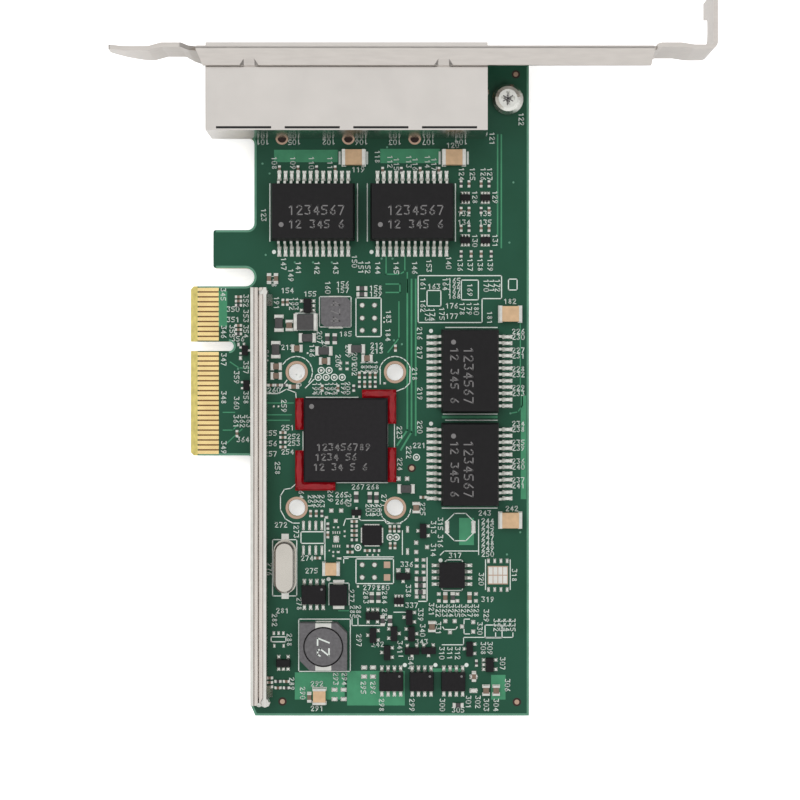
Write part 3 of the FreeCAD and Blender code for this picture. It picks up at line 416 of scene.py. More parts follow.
def cushion(mesh, x, y, length, width, z, height):
    """A rounded pad about a level; its lower half is inside what carries it."""
    place = Matrix.Translation((x, y, z)) @ Matrix.Diagonal((length / 2, width / 2, height, 1))
    bmesh.ops.create_uvsphere(mesh, u_segments=8, v_segments=4, radius=1, matrix=place)


def dome(mesh, x, y, z, radius, height):
    """A low round dome about a level."""
    cushion(mesh, x, y, radius * 2, radius * 2, z, height)


def cone(mesh, x, y, z, radius, tip, height):
    """A solder cone that hangs from a level."""
    place = Matrix.Translation((x, y, z - height / 2))
    bmesh.ops.create_cone(
        mesh, cap_ends=True, segments=12, radius1=tip, radius2=radius, depth=height, matrix=place,
    )


# strokes of each digit on a field 0.6 wide and 1 high
DIGITS = {
    "0": [(0.15, 0), (0, 0.25), (0, 0.75), (0.15, 1), (0.45, 1), (0.6, 0.75), (0.6, 0.25), (0.45, 0),
          (0.15, 0)],
    "1": [(0.1, 0.8), (0.35, 1), (0.35, 0)],
    "2": [(0, 0.8), (0.15, 1), (0.45, 1), (0.6, 0.75), (0, 0), (0.6, 0)],
    "3": [(0, 1), (0.6, 1), (0.3, 0.6), (0.6, 0.3), (0.4, 0), (0, 0.1)],
    "4": [(0.45, 0), (0.45, 1), (0, 0.3), (0.6, 0.3)],
    "5": [(0.6, 1), (0, 1), (0, 0.55), (0.4, 0.6), (0.6, 0.3), (0.4, 0), (0, 0.05)],
    "6": [(0.5, 1), (0, 0.4), (0.15, 0), (0.45, 0), (0.6, 0.3), (0.4, 0.55), (0.05, 0.45)],
    "7": [(0, 1), (0.6, 1), (0.2, 0)],
    "8": [(0.3, 0.55), (0.05, 0.8), (0.3, 1), (0.55, 0.8), (0.3, 0.55), (0, 0.25), (0.3, 0), (0.6, 0.25),
          (0.3, 0.55)],
    "9": [(0.1, 0), (0.6, 0.6), (0.45, 1), (0.15, 1), (0, 0.7), (0.2, 0.45), (0.55, 0.55)],
}
DIGIT_PITCH = 0.95
DIGIT_GAP = 0.35           # free part of the pitch after the last digit


def number(mesh, text, place, size, stroke, z0, z1):
    """A plain number in straight strokes; place is its middle and its quarter turns."""
    x, y, turns = place
    turned = Matrix.Rotation(turns * math.pi / 2, 2)
    start = -(len(text) * DIGIT_PITCH - DIGIT_GAP) / 2
    for n, digit in enumerate(text):
        points = DIGITS.get(digit, [])
        spots = [Vector((start + n * DIGIT_PITCH + px, py - 0.5)) * size for px, py in points]
        line(mesh, [turned @ spot + Vector((x, y)) for spot in spots], stroke, z0, z1)


def islands(node):
    """The points of each separate solid of a CAD node, in millimetres."""
    mesh = bmesh.new()
    mesh.from_mesh(frame["nodes"][node].data)
    bmesh.ops.remove_doubles(mesh, verts=mesh.verts, dist=1e-7)
    left = set(mesh.verts)
    groups = []
    while left:
        reached = [left.pop()]
        for vert in reached:
            for edge in vert.link_edges:
                other = edge.other_vert(vert)
                if other in left:
                    left.remove(other)
                    reached.append(other)
        groups.append([vert.co / MM for vert in reached])
    mesh.free()
    return groups


def plan_box(points):
    """Plan box of points, as lowest x, highest x, lowest y, highest y."""
    xs = [point.x for point in points]
    ys = [point.y for point in points]
    return min(xs), max(xs), min(ys), max(ys)


# ---------------------------------------------------------------- where things are, in millimetres
SOLDERED = ("_leads", "_ends", "_tabs", "_pads", "_clips", "_feet")
UNDER_NODE = "decoupling_ends"
# planes of covered copper: lowest x, highest x, lowest y, highest y
COVERED_PLANES = [
    (16.9, 29.8, 37.3, 39.8), (38.4, 50.5, 37.1, 40.0), (21.1, 31.2, -71.6, -66.1),
    (31.7, 43.4, -72.8, -65.8), (54.4, 57.4, -40.3, -34.8), (50.9, 62.2, -14.6, -14.1),
    (66.9, 68.0, -31.0, -10.0), (48.2, 55.2, -66.0, -65.3), (60.9, 63.8, -71.6, -66.6), (5.6, 7.4, 4.0, 11.2),
]
UNDER_PLANES = [(46.0, 66.0, -70.0, -44.0), (16.0, 30.0, -70.0, -52.0)]
COOLER_HALF_PITCH = (9.96, 13.75)
COOLER_HOLES = [(CHIP.x + i * COOLER_HALF_PITCH[0], CHIP.y + j * COOLER_HALF_PITCH[1])
                for i in (-1, 1) for j in (-1, 1)]
LEG_HOLES = [(18.5, 42.15), (31.95, 42.15), (45.4, 42.15)]
FIDUCIALS = [(65.9, 55.1), (18.6, -72.0), (66.1, -72.1), (44.8, -24.7)]
ROUND_PINS = [(x, y) for x in (34.75, 37.25) for y in (8.3, 5.7, 3.2, -44.3, -46.85)]
COPPER_PINS = [(39.8, -44.3), (39.8, -46.85)]
TEST_POINTS = [
    (26.45, -4.9), (28.05, -4.9), (25.85, -6.3), (27.45, -6.3), (29.1, -6.3), (30.7, -6.3), (45.75, -22.5),
    (33.9, -40.8), (40.4, -38.7), (41.65, -38.7),
]
VIAS = [
    (14.55, 37.0), (39.8, 40.3), (64.1, -42.2), (64.8, -13.6), (21.1, 17.0), (24.8, 17.0), (28.6, 17.0),
    (38.7, 17.75), (40.9, 17.75), (66.8, -37.7), (41.2, 1.2), (42.8, 0.4), (37.3, -60.9), (57.9, -60.4),
    (16.0, 35.0), (15.2, 18.5), (47.9, 23.5), (64.6, 21.0), (65.4, 33.2), (12.2, -4.6), (9.6, -4.6),
]
# covered tracks: points, by width
TRACKS = {
    0.3: [
        [(62.2, 42.8), (62.2, 22.5)], [(62.95, 42.8), (62.95, 20.0)],
    ],
    0.35: [
        [(43.9, 13.5), (43.9, -17.0), (41.9, -20.0)], [(44.75, 13.5), (44.75, -17.4), (42.6, -21.0)],
        [(45.6, 13.5), (45.6, -18.0)],
    ],
    0.25: [
        [(42.2, 9.0), (42.2, 1.6), (40.0, -1.2)], [(39.6, 18.2), (39.6, 14.6), (42.4, 14.6)],
        [(43.4, 18.2), (43.4, 15.2), (42.4, 14.6)], [(39.6, 12.6), (42.4, 12.6), (42.4, 10.9), (39.6, 10.9)],
        [(43.9, 10.9), (43.9, 14.9)],
    ],
    0.22: [
        [(64.8, -13.6), (66.3, -13.3), (67.2, -12.0), (67.2, -9.0)], [(66.8, 6.0), (66.8, -9.0)],
        [(14.6, -11.5), (20.8, -11.5)], [(14.6, -13.9), (20.4, -13.9)], [(14.6, -15.0), (20.0, -15.0)],
        [(8.0, -3.2), (9.8, -4.4), (12.2, -4.4)], [(6.6, -13.4), (8.9, -13.4)],
        [(6.6, -17.0), (8.6, -17.0), (9.6, -15.8)], [(7.4, -19.6), (10.4, -16.8)],
        [(30.0, -53.6), (32.0, -53.6)],
    ],
}
# fans of tracks on the solder side: x of the first one, and y of its start, bend and end
UNDER_FANS = [(14.5, 36.0, 20.0, 10.0), (41.5, 34.0, 16.0, 6.0)]
UNDER_TRACKS = 12          # in each fan
UNDER_TRACK_WIDTH = 0.22
UNDER_TRACK_STEP = 1.6
UNDER_TRACK_FALL = 0.8     # each bends this much lower than the one before
UNDER_TRACK_REACH = 8.0    # x from bend to end
# printed lines: points, by width
PRINTED_LINES = {
    0.2: [
        [(16.05, 32.9), (16.05, 21.3)], [(33.8, 32.9), (33.8, 21.3)], [(35.8, 32.9), (35.8, 21.3)],
        [(53.65, 32.9), (53.65, 21.3)], [(51.7, 3.8), (62.1, 3.8)], [(51.2, -13.75), (62.1, -13.75)],
        [(51.7, -15.0), (62.1, -15.0)], [(51.0, -32.8), (62.1, -32.8)],
        [(46.1, 14.3), (63.0, 14.3), (63.0, 9.65), (59.05, 9.65), (59.05, 4.8), (46.1, 4.8), (46.1, 14.3)],
        [(49.0, 42.65), (60.0, 42.65), (60.0, 44.0)], [(14.5, 42.75), (16.8, 42.75)],
        [(27.2, -35.0), (27.2, -43.3)], [(51.6, -43.6), (51.9, -43.3), (54.9, -43.3), (55.1, -43.6)],
        [(50.9, -49.2), (51.1, -49.5), (54.9, -49.5), (55.1, -49.2)],
        [(46.2, -51.7), (47.9, -51.7), (47.9, -42.9)],
    ],
    0.18: [
        [(15.5, -9.6), (17.8, -9.6), (19.4, -8.7), (21.3, -9.4), (21.4, -11.0)],
        [(23.4, -10.35), (33.9, -10.35)], [(29.6, -27.65), (39.9, -27.65)], [(22.75, -17.3), (22.75, -21.2)],
        [(39.9, -15.8), (39.9, -20.7)], [(41.3, -15.8), (41.3, -20.7)], [(18.2, -8.7), (19.5, -6.9)],
        [(23.3, -8.4), (25.0, -6.7)],
        [(21.3, -27.9), (20.3, -28.8), (19.0, -29.0), (18.2, -30.3), (18.2, -33.2), (19.2, -35.0),
         (20.7, -35.85), (22.0, -35.85)],
        [(31.0, -36.3), (31.4, -35.0), (34.1, -34.9), (34.5, -35.3), (39.3, -35.3), (39.7, -35.95),
         (42.6, -35.95)],
        [(58.35, -35.2), (58.35, -42.2)], [(50.6, -42.3), (51.4, -41.5), (58.2, -41.5)],
        [(42.9, -37.4), (42.9, -42.2)], [(59.75, -43.3), (59.75, -49.3)], [(64.75, -43.3), (64.75, -49.3)],
        [(42.2, -62.8), (43.0, -62.8)], [(55.3, -59.0), (65.3, -59.0), (65.3, -58.1)],
        [(61.8, -59.0), (61.8, -58.1)], [(51.0, -60.5), (55.3, -60.5), (55.3, -59.0)],
        [(51.1, -56.9), (51.4, -57.4), (53.7, -57.4), (54.0, -56.9)],
        [(56.5, -55.3), (55.4, -55.3), (55.4, -56.2)], [(55.4, -57.4), (55.4, -58.3), (56.5, -58.3)],
        [(32.7, -55.2), (32.7, -56.6), (39.2, -56.6), (39.5, -56.0)], [(33.9, -55.2), (33.9, -56.6)],
        [(31.9, -43.0), (31.0, -43.0), (31.0, -43.9)], [(31.0, -42.7), (41.1, -42.7)],
        [(28.0, -48.0), (32.1, -48.0), (32.1, -52.4)], [(28.0, -48.0), (28.0, -52.4)],
        [(54.6, -66.2), (54.6, -67.0)], [(41.2, -53.9), (43.7, -53.9)],
    ],
}
# printed frames: lowest x, highest x, lowest y, highest y
PRINTED_FRAMES = [
    (33.5, 38.6, 1.95, 9.8), (33.5, 41.1, -48.1, -43.1), (26.1, 32.5, 3.9, 10.05), (47.9, 50.7, 8.15, 11.3),
    (54.85, 58.3, 9.4, 13.4), (64.4, 66.15, 11.4, 13.6), (59.65, 63.1, -59.1, -56.5),
    (22.35, 27.1, -39.95, -37.6), (21.1, 25.5, 3.3, 6.7), (21.9, 32.35, -65.9, -55.3),
    (16.6, 21.5, -50.6, -39.2), (16.3, 19.3, -59.9, -58.9),
]
# printed octagon: middle, radius, first and last angle, sides
OCTAGON = (54.6, -36.65, 3.0, 112.5, 472.5, 8)
# arcs printed round the cooler's holes: hole, start and end angle
PRINTED_ARCS = [(1, -40, 150), (3, 10, 170), (2, 185, 355)]
# lines beside a cooler's hole, from its middle
ARC_TAILS = [[(-3.0, 0.6), (-3.0, -2.4)], [(3.05, 0.6), (3.0, -2.2), (2.0, -3.2), (0.2, -3.9)]]
TAILED_HOLE = 3
PRINTED_BARS = [(x, 38.15) for x in (30.2, 35.75, 50.45, 56.15)]
PRINTED_DOTS = [
    (16.9, 19.1), (36.65, 19.1), (48.7, 3.1), (48.7, -15.7), (27.95, -47.2), (50.65, -43.4), (49.6, -64.6),
    (55.9, -64.6), (43.4, -64.6),
]
# plain print numbers: x, y and quarter turns, and for a row also how many, step x and step y
NUMBERS = [
    (14.6, 41.35, 2, 4, 13.4, 0), (21.0, 41.35, 2, 3, 13.6, 0), (16.96, 37.15, 3, 4, 3.76, 0),
    (40.4, 37.4, 3, 3, 3.8, 0), (41.7, 36.9, 3, 3, 3.8, 0), (37.85, 38.4, 3), (33.95, 35.8, 0),
    (53.1, 40.7, 0), (61.1, 42.1, 3), (67.0, 46.0, 3), (14.8, 26.6, 3), (54.9, 34.9, 3, 3, 2.2, 0),
    (60.6, 34.9, 3), (57.6, 30.2, 3, 2, 4.1, 0), (57.6, 21.4, 3, 2, 4.1, 0), (55.4, 26.9, 0, 2, 4.3, 0),
    (55.4, 25.1, 0, 2, 4.3, 0), (54.6, 16.5, 3, 4, 2.03, 0), (52.3, 16.9, 3), (21.85, 15.9, 3, 3, 3.77, 0),
    (37.95, 15.9, 3, 3, 3.73, 0), (18.85, 16.7, 3), (16.9, 13.3, 3), (20.3, 14.4, 3), (33.2, 17.2, 3),
    (34.5, 16.0, 3, 2, 1.37, 0), (48.3, 16.3, 3), (19.6, 11.3, 0), (24.2, 10.6, 0),
    (30.8, 12.6, 0, 2, 0, -1.25), (37.5, 11.8, 0, 2, 0, -1.2), (27.8, 11.9, 3), (47.1, 12.6, 3, 2, 0, -4.4),
    (49.3, 12.1, 0), (51.6, 12.6, 3), (53.4, 13.3, 0, 4, 0, -1.05), (56.6, 11.4, 3),
    (59.9, 12.3, 3, 3, 1.15, 0), (48.0, 6.4, 3, 2, 1.0, 0), (50.9, 6.6, 3), (52.9, 8.2, 0, 2, 0, -2.1),
    (55.0, 7.6, 3, 3, 1.45, 0), (60.6, 5.8, 3), (64.7, 9.1, 0), (40.1, 6.0, 3), (40.0, 2.3, 3),
    (31.4, 2.5, 0), (24.6, -0.9, 3), (35.0, -4.2, 3, 4, 0.8, 0), (17.4, 8.8, 3), (20.5, 8.6, 3, 2, 0.8, 0),
    (25.2, -8.6, 3, 2, 0.8, 0), (27.7, -8.6, 3, 3, 0.8, 0), (31.0, -8.5, 3, 2, 0.8, 0),
    (33.2, -2.5, 3, 2, 0, -2.2), (36.0, -33.2, 3, 3, 1.1, 0), (29.9, -3.0, 3), (26.1, 1.8, 3),
    (27.2, -0.2, 3), (31.9, -1.0, 3), (21.9, -6.9, 3), (15.3, -2.0, 3), (37.7, 0.2, 0, 2, 0, -1.15),
    (14.7, 6.6, 3), (19.6, -0.2, 0), (46.4, 2.6, 3, 2, 0, -3.9), (45.4, -5.6, 3),
    (46.45, -9.6, 3, 2, 0, -6.8), (46.3, -20.1, 0), (44.2, -21.5, 3), (42.3, -17.5, 3), (42.4, -23.9, 3),
    (47.0, -33.0, 3), (66.4, 3.0, 0, 4, 0, -3.8), (66.4, 1.85, 0, 4, 0, -3.8), (66.4, -15.7, 0, 4, 0, -3.8),
    (66.4, -16.85, 0, 4, 0, -3.8), (65.1, -32.9, 0), (59.6, -33.8, 0), (60.2, -35.4, 0, 7, 0, -1.12),
    (19.65, -16.5, 0), (20.9, -18.3, 0, 2, 0, -1.35), (19.65, -21.4, 0), (16.2, -17.6, 0, 3, 0, -2.1),
    (17.6, -24.7, 3), (18.9, -12.1, 3), (16.9, -8.9, 0), (24.3, -31.4, 3, 3, 1.15, 0), (22.4, -29.6, 3),
    (30.6, -30.1, 0, 2, 0, -1.4), (33.9, -28.5, 0, 2, 3.0, 0), (28.3, -30.3, 3), (32.0, -31.2, 3),
    (39.2, -31.3, 3), (18.3, -36.2, 0), (21.4, -37.6, 3), (23.6, -42.95, 0), (24.5, -45.5, 0),
    (16.0, -45.2, 3), (32.6, -50.6, 3), (22.0, -52.2, 3), (36.2, -48.9, 0, 2, 2.8, 0), (18.6, -53.6, 0),
    (17.0, -55.5, 3), (35.5, -50.9, 3, 2, 3.8, 0), (32.8, -53.8, 3, 2, 1.2, 0), (39.3, -54.4, 3),
    (20.0, -59.5, 3), (20.5, -68.4, 3), (22.7, -70.3, 3), (25.6, -73.4, 0), (25.6, -68.4, 0),
    (29.4, -67.4, 3, 2, 1.75, 0), (35.0, -69.2, 3, 2, 1.95, 0), (34.1, -59.6, 3),
    (38.7, -72.7, 3, 3, 6.15, 0), (56.3, -72.1, 3, 2, 1.9, 0), (59.9, -72.7, 3, 2, 2.0, 0), (54.2, -73.7, 0),
    (64.2, -68.7, 3), (63.2, -64.3, 3), (59.3, -61.2, 3, 2, 1.35, 0), (50.9, -62.2, 3, 3, 1.6, 0),
    (49.2, -36.7, 3, 2, 0, -4.6), (50.6, -36.0, 3, 2, 0, -3.5), (53.6, -42.4, 0), (65.6, -46.4, 3),
    (60.2, -51.3, 0), (58.9, -47.2, 3), (48.8, -53.3, 3), (50.2, -53.6, 3, 7, 1.28, 0), (59.9, -54.6, 3),
    (58.6, -57.2, 3), (50.2, -57.1, 3), (61.9, -56.5, 3, 4, 1.12, 0), (43.8, -44.2, 0), (44.8, -52.5, 0),
    (44.1, -49.6, 3), (46.6, -54.4, 3), (47.0, -57.6, 3), (42.4, -61.0, 3), (37.9, -60.4, 0),
    (46.8, -59.9, 0), (44.6, -64.2, 3), (6.6, 10.5, 3), (6.7, 2.9, 3, 2, 0, -5.6), (6.7, -10.4, 3),
    (6.7, -20.5, 3), (8.6, 7.5, 0, 2, 0, -2.1), (11.2, 9.2, 3, 3, 0, -3.1), (8.4, 3.0, 3), (9.6, 1.5, 0),
    (11.2, -4.3, 3, 2, 0, -6.1), (9.3, -6.3, 3, 2, 0, -5.2), (9.2, -15.2, 3, 3, 1.3, 0), (10.6, -18.9, 0),
]
FIRST_NUMBER = 101
# chip parts: length, width, height and end cap
SIZE_0603 = (1.6, 0.8, 0.5, 0.3)
SIZE_0402 = (1.0, 0.5, 0.35, 0.22)
# their places: x, y and quarter turns, and for a row also how many, step x and step y
DARK_0603 = [
    (27.7, 1.5, 1), (29.2, 1.5, 1), (33.55, -30.55, 1), (36.3, -30.6, 1), (37.65, -30.65, 1),
    (46.55, -47.15, 0), (46.55, -48.45, 0), (46.55, -49.8, 0), (54.2, -72.7, 0), (34.7, 11.7, 0),
    (34.7, 10.5, 0), (36.7, -50.9, 1), (38.05, -50.9, 1), (38.9, -55.6, 1), (40.4, -55.6, 1),
    (53.1, -50.9, 1),
]
BROWN_0603 = [
    (20.9, -8.2, 0), (15.9, 13.7, 1), (17.3, 13.7, 1), (24.05, -71.1, 1), (57.4, -66.9, 1), (51.6, -50.9, 1),
    (56.5, -50.9, 1),
]
PARTS_0402 = [
    (54.8, 32.9, 1, 2, 1.6, 0), (58.85, 32.9, 1, 2, 1.6, 0), (54.8, 27.5, 1, 2, 1.6, 0),
    (58.85, 27.5, 1, 2, 1.6, 0), (54.8, 23.9, 1, 2, 1.6, 0), (58.85, 23.9, 1, 2, 1.6, 0),
    (54.8, 18.7, 1, 4, 2.03, 0), (18.7, -17.5, 0, 4, 0, -0.97), (34.2, -5.85, 1, 4, 1.07, 0),
    (34.2, -7.7, 1, 4, 1.07, 0), (26.65, -8.5, 1, 3, 3.2, 0), (24.3, -33.9, 1, 3, 1.15, 0),
    (18.7, 8.9, 1, 2, 0.9, 0), (32.3, -40.5, 0, 2, 0, -1.2), (35.8, -41.4, 0, 2, 1.9, 0),
    (18.0, 35.9, 1, 4, 3.76, 0), (38.9, 35.6, 1, 4, 3.8, 0), (17.7, -67.9, 0, 2, 1.7, 0),
    (17.7, -69.2, 0, 2, 1.7, 0), (9.7, 10.0, 0, 3, 0, -0.85), (9.7, 4.2, 0, 3, 0, -0.85), (9.4, -17.7, 1),
    (33.15, -35.5, 0, 5, 0, -0.93), (40.4, -37.0, 1, 3, 0.9, 0), (40.45, -40.4, 1, 2, 0.95, 0),
    (27.8, -36.45, 1, 2, 0, -1.75), (47.1, -30.6, 0), (57.9, -64.2, 1), (16.3, -7.9, 0, 3, 1.35, 0),
    (16.0, -67.2, 0, 3, 0, -0.9), (25.7, -42.9, 0), (41.5, -0.4, 1),
]
CAP_RISE = 1.05            # height of an end cap against its body
CAP_SPREAD = 1.1           # width of an end cap against its body
FOOT_RISE = 0.3            # height of the solder foot against the body
# three-legged bodies: middle, and 1 when upright
TINY_TRANSISTORS = [(11.0, -0.85, 1), (11.3, -7.9, 1), (33.6, -33.7, 0)]
TRANSISTOR_SIZE = (2.0, 1.2, 0.8)    # length, width and height
TRANSISTOR_LEGS = ((-0.6, -0.8), (0.6, -0.8), (0, 0.8))
TRANSISTOR_LEG = (0.4, 0.6, 0.2)
# bare pads: middle, length and width, and for a row also how many, step x and step y
BARE_PADS = [
    (21.75, 4.9, 1.2, 2.4, 2, 3.15, 0), (51.95, -36.65, 0.95, 2.7, 2, 5.35, 0),
    (30.35, -3.4, 0.75, 0.6, 2, 1.35, 0), (30.35, -4.6, 0.75, 0.6, 2, 1.35, 0),
    (28.5, -33.3, 0.95, 0.9, 2, 2.0, 0), (29.4, -35.4, 0.9, 0.8), (42.15, -26.85, 0.95, 0.95, 2, 1.7, 0),
    (42.1, -45.4, 1.0, 0.9, 2, 1.85, 0), (43.95, -37.1, 0.65, 1.4, 2, 0, -4.5),
    (51.6, -55.7, 0.9, 0.9, 2, 1.9, 0), (52.55, -57.95, 0.9, 0.9), (55.0, -56.8, 0.9, 0.9),
    (57.25, -55.9, 0.9, 0.9, 2, 0, -1.95), (29.15, -69.6, 1.3, 0.9, 2, 1.85, 0),
    (29.15, -71.5, 1.3, 0.9, 2, 1.85, 0), (35.15, -65.1, 1.3, 0.9, 2, 1.8, 0),
    (35.15, -66.95, 1.3, 0.9, 2, 1.8, 0), (57.3, -67.0, 1.7, 1.0, 2, 0, -2.8),
    (16.95, -60.7, 0.5, 0.8, 2, 1.9, 0), (39.2, 5.75, 0.35, 0.35, 2, 0, -0.85),
    (16.85, -12.2, 0.4, 0.4, 2, 0.95, 0), (29.5, -39.1, 1.2, 1.4), (29.0, -36.7, 0.4, 0.4, 2, 0.9, 0),
    (31.2, -37.5, 0.45, 0.45, 2, 0, -1.0), (28.1, -41.4, 0.35, 0.35), (28.9, -41.7, 0.45, 0.45),
    (29.9, -41.7, 0.7, 0.5), (28.9, -42.5, 0.45, 0.45), (30.1, -43.0, 1.0, 0.5), (45.7, -39.8, 0.9, 0.9),
    (47.9, -40.7, 0.9, 0.9), (45.7, -41.7, 0.9, 0.9), (33.9, -48.7, 0.5, 0.5),
    (38.0, -48.8, 0.4, 0.4, 2, 0.9, 0), (39.3, -7.5, 0.6, 0.5), (23.3, -8.4, 0.3, 0.3),
    (23.7, -1.4, 0.4, 0.4), (27.5, -34.7, 0.8, 0.6), (9.7, 0.35, 0.55, 0.8, 2, 1.1, 0),
    (10.1, -2.4, 0.7, 0.9), (22.85, -36.35, 0.6, 2.0, 4, 1.25, 0), (22.85, -41.35, 0.6, 2.0, 4, 1.25, 0),
    (60.35, -43.5, 0.6, 1.0, 4, 1.26, 0), (60.35, -49.3, 0.6, 1.0, 4, 1.26, 0),
    (45.8, -43.3, 0.85, 0.75, 7, 0, -1.25), (47.2, -43.3, 0.85, 0.75, 7, 0, -1.25),
    (28.85, -37.75, 0.26, 0.6, 4, 0.45, 0), (28.85, -40.5, 0.26, 0.6, 4, 0.45, 0),
    (35.8, -42.3, 0.4, 0.4, 3, 1.1, 0), (16.85, -58.15, 0.55, 0.8, 3, 0.97, 0),
    (50.3, -50.2, 0.85, 0.75, 3, 3.75, 0), (50.3, -51.6, 0.85, 0.75, 3, 3.75, 0),
]
# grey dot on top of a case
CASE_DOTS = [
    ("transformer_1", 18.7, 24.1), ("transformer_2", 38.5, 24.1), ("transformer_3", 53.1, 0.65),
    ("transformer_4", 53.1, -18.1), ("controller_chip", 24.6, -12.2),
]
# plain numbers in grey on top of a case: node, digits, middle and quarter turns, size
CASE_NUMBERS = [
    ("transformer_1", "1234567", (25.7, 27.0, 0), 1.75), ("transformer_1", "12 345 6", (25.7, 24.2, 0), 1.5),
    ("transformer_2", "1234567", (45.5, 27.0, 0), 1.75), ("transformer_2", "12 345 6", (45.5, 24.2, 0), 1.5),
    ("transformer_3", "1234567", (56.1, -6.0, 3), 1.75), ("transformer_3", "12 345 6", (53.3, -6.0, 3), 1.5),
    ("transformer_4", "1234567", (56.1, -24.7, 3), 1.75),
    ("transformer_4", "12 345 6", (53.3, -24.7, 3), 1.5),
    ("controller_chip", "123456789", (31.0, -20.4, 0), 1.3),
    ("controller_chip", "1234 56", (29.5, -22.4, 0), 1.3),
    ("controller_chip", "12 34 5 6", (30.4, -24.4, 0), 1.3), ("choke_core", "474", (29.4, 6.9, 3), 1.7),
]
DRUM_NUMBER = "27"
DRUM_NUMBER_SIZE = 2.3
# lumps of solder on the stiffener's ends: middle, radius, height
BLOBS = [(15.2, 10.8, 0.9, 0.6), (14.5, 10.7, 0.6, 0.58), (15.3, -71.6, 1.1, 0.6), (14.1, -72.1, 0.55, 0.5)]
# pad under the middle of a leadless chip that isn't fitted: middle, length, width, cells, their pitch and tin
BELLY_PAD = (62.25, -46.4, 4.1, 3.7)
BELLY_GRID = (4, 2)
BELLY_CELL = (0.98, 1.75)
BELLY_TIN = (0.82, 1.55)
# the residue between the contacts stops this far from the middle of the key notch, and starts at this x
KEY_EDGE = 1.3
FLUX_START = 1.7
FLUX_HEIGHT = 0.012

# ---------------------------------------------------------------- fixed sizes, in millimetres
HOLE_REACH = 3.0           # what is nearer a hole's middle belongs to the hole
EDGE_REACH = 1.0           # how near the board's right edge its pale band is looked for
END_REACH = 2.5            # and how near its lower end
HOOK_BASE = 11.0           # the band runs up the left edge from here
VIA_RADIUS = 0.22
PIN_DOME = (0.62, 0.22)    # radius and height above the board
PIN_DOME_UNDER = (0.7, 0.5)
PIN_CONE = (0.48, 0.24, 0.55)    # radius, tip and height
LEG_CONE = (1.0, 0.6, 0.6)
LEG_CONE_SHIFT = 0.6
TEST_RADIUS = 0.3
TEST_RING = (0.52, 0.72)
HOLE_RING = (1.72, 2.25)
HOLE_RING_UNDER = (1.72, 2.4)
LEG_RING = (0.92, 1.3)
LEG_SHADOW = 0.9
LEG_SHADOW_BASE = 0.1      # above the solder side
FIDUCIAL_RING = (0.5, 0.85)
FIDUCIAL_HEIGHT = 0.015
COPPER_PIN = 1.3
LEAD_SOLDER = 0.34         # height of the solder round a lead
BARE_SOLDER = 0.16         # height of the solder on a bare pad
LEAD_REACH = 0.3           # what is this near the board is soldered to it
PAD_FLAT = 0.9             # flat part of a bare pad against its size
PAD_ROUND = 1.1            # rounded part of a bare pad against its size
THIN = 0.01                # height of what only colours a surface
CREST_SINK = 0.08          # middle of an adhesive crest below the bond's top
CREST_HEIGHT = 0.34
STAR_TURNS = (30, 90, 150)
STAR_REACH = 1.05          # half the star in the screw
STAR_WIDTH = 0.24
STAR_SINK = 0.06
SHADE_LINE_INSET = 0.7           # painted shade in the grooves along the stiffener's folds, from its sides
SHADE_LINE_WIDTH = 0.14
SHADE_LINE_DEPTH = (0.4, 0.33)
HIGHLIGHT_INSET = 0.3            # painted highlights along the stiffener's folded edges, from its sides
HIGHLIGHT_WIDTH = 0.48
BLOB_SINK = 0.6
FRAME_WIDTH = 0.2          # strokes of the print
ARC_WIDTH = 0.18
BAR_SIZE = (0.4, 2.6)
DOT_RADIUS = 0.42
CASE_DOT = 0.5             # marks on the cases
CASE_STROKE = 0.24
SMALL_CASE_DOT = 0.25
SMALL_CASE_INSET = 0.8
DRUM_STROKE = 0.3

# ---------------------------------------------------------------- stage, in metres
FLOOR_SIZE = 2.0
FLOOR_GAP = 0.0002
KEY_PLACE = (-0.35, 0.45, 0.95)
FILL_PLACE = (0.6, -0.5, 0.9)
FILL_SHARE = 0.5
LAMP_SIZE = 0.9
CAMERA_SPOT = (0.04242, -0.0109)
SENSOR_WIDTH = 36          # in millimetres
# what metal mirrors of the surroundings: height from the horizon to overhead, brightness
MIRRORED_SKY = [(0.0, 0.55), (0.1, 0.12), (0.5, 0.3), (0.68, 1.25), (0.85, 0.97), (1.0, 0.94)]


def spread_places(table, width):
    """Every place of a table; a row is a first place of some width, then how many, step x and step y."""
    places = []
    for row in table:
        x, y, *rest = row[:width]
        count, dx, dy = row[width:] or (1, 0, 0)
        places += [(x + n * dx, y + n * dy, *rest) for n in range(count)]
    return places


# ---------------------------------------------------------------- the steps
class CARD_OT_finishes(bpy.types.Operator):
    """Give every solid of the card its finish"""
    bl_idname = "card.finishes"
    bl_label = "Finishes of the solids"

    def execute(self, context):
        made = make_materials()
        slots = {row["node"]: row["material_slot"] for row in frame["record"]["subparts"]}
        for name, node in frame["nodes"].items():
            node.data.materials.clear()
            node.data.materials.append(made[slots[name]])
        return {"FINISHED"}


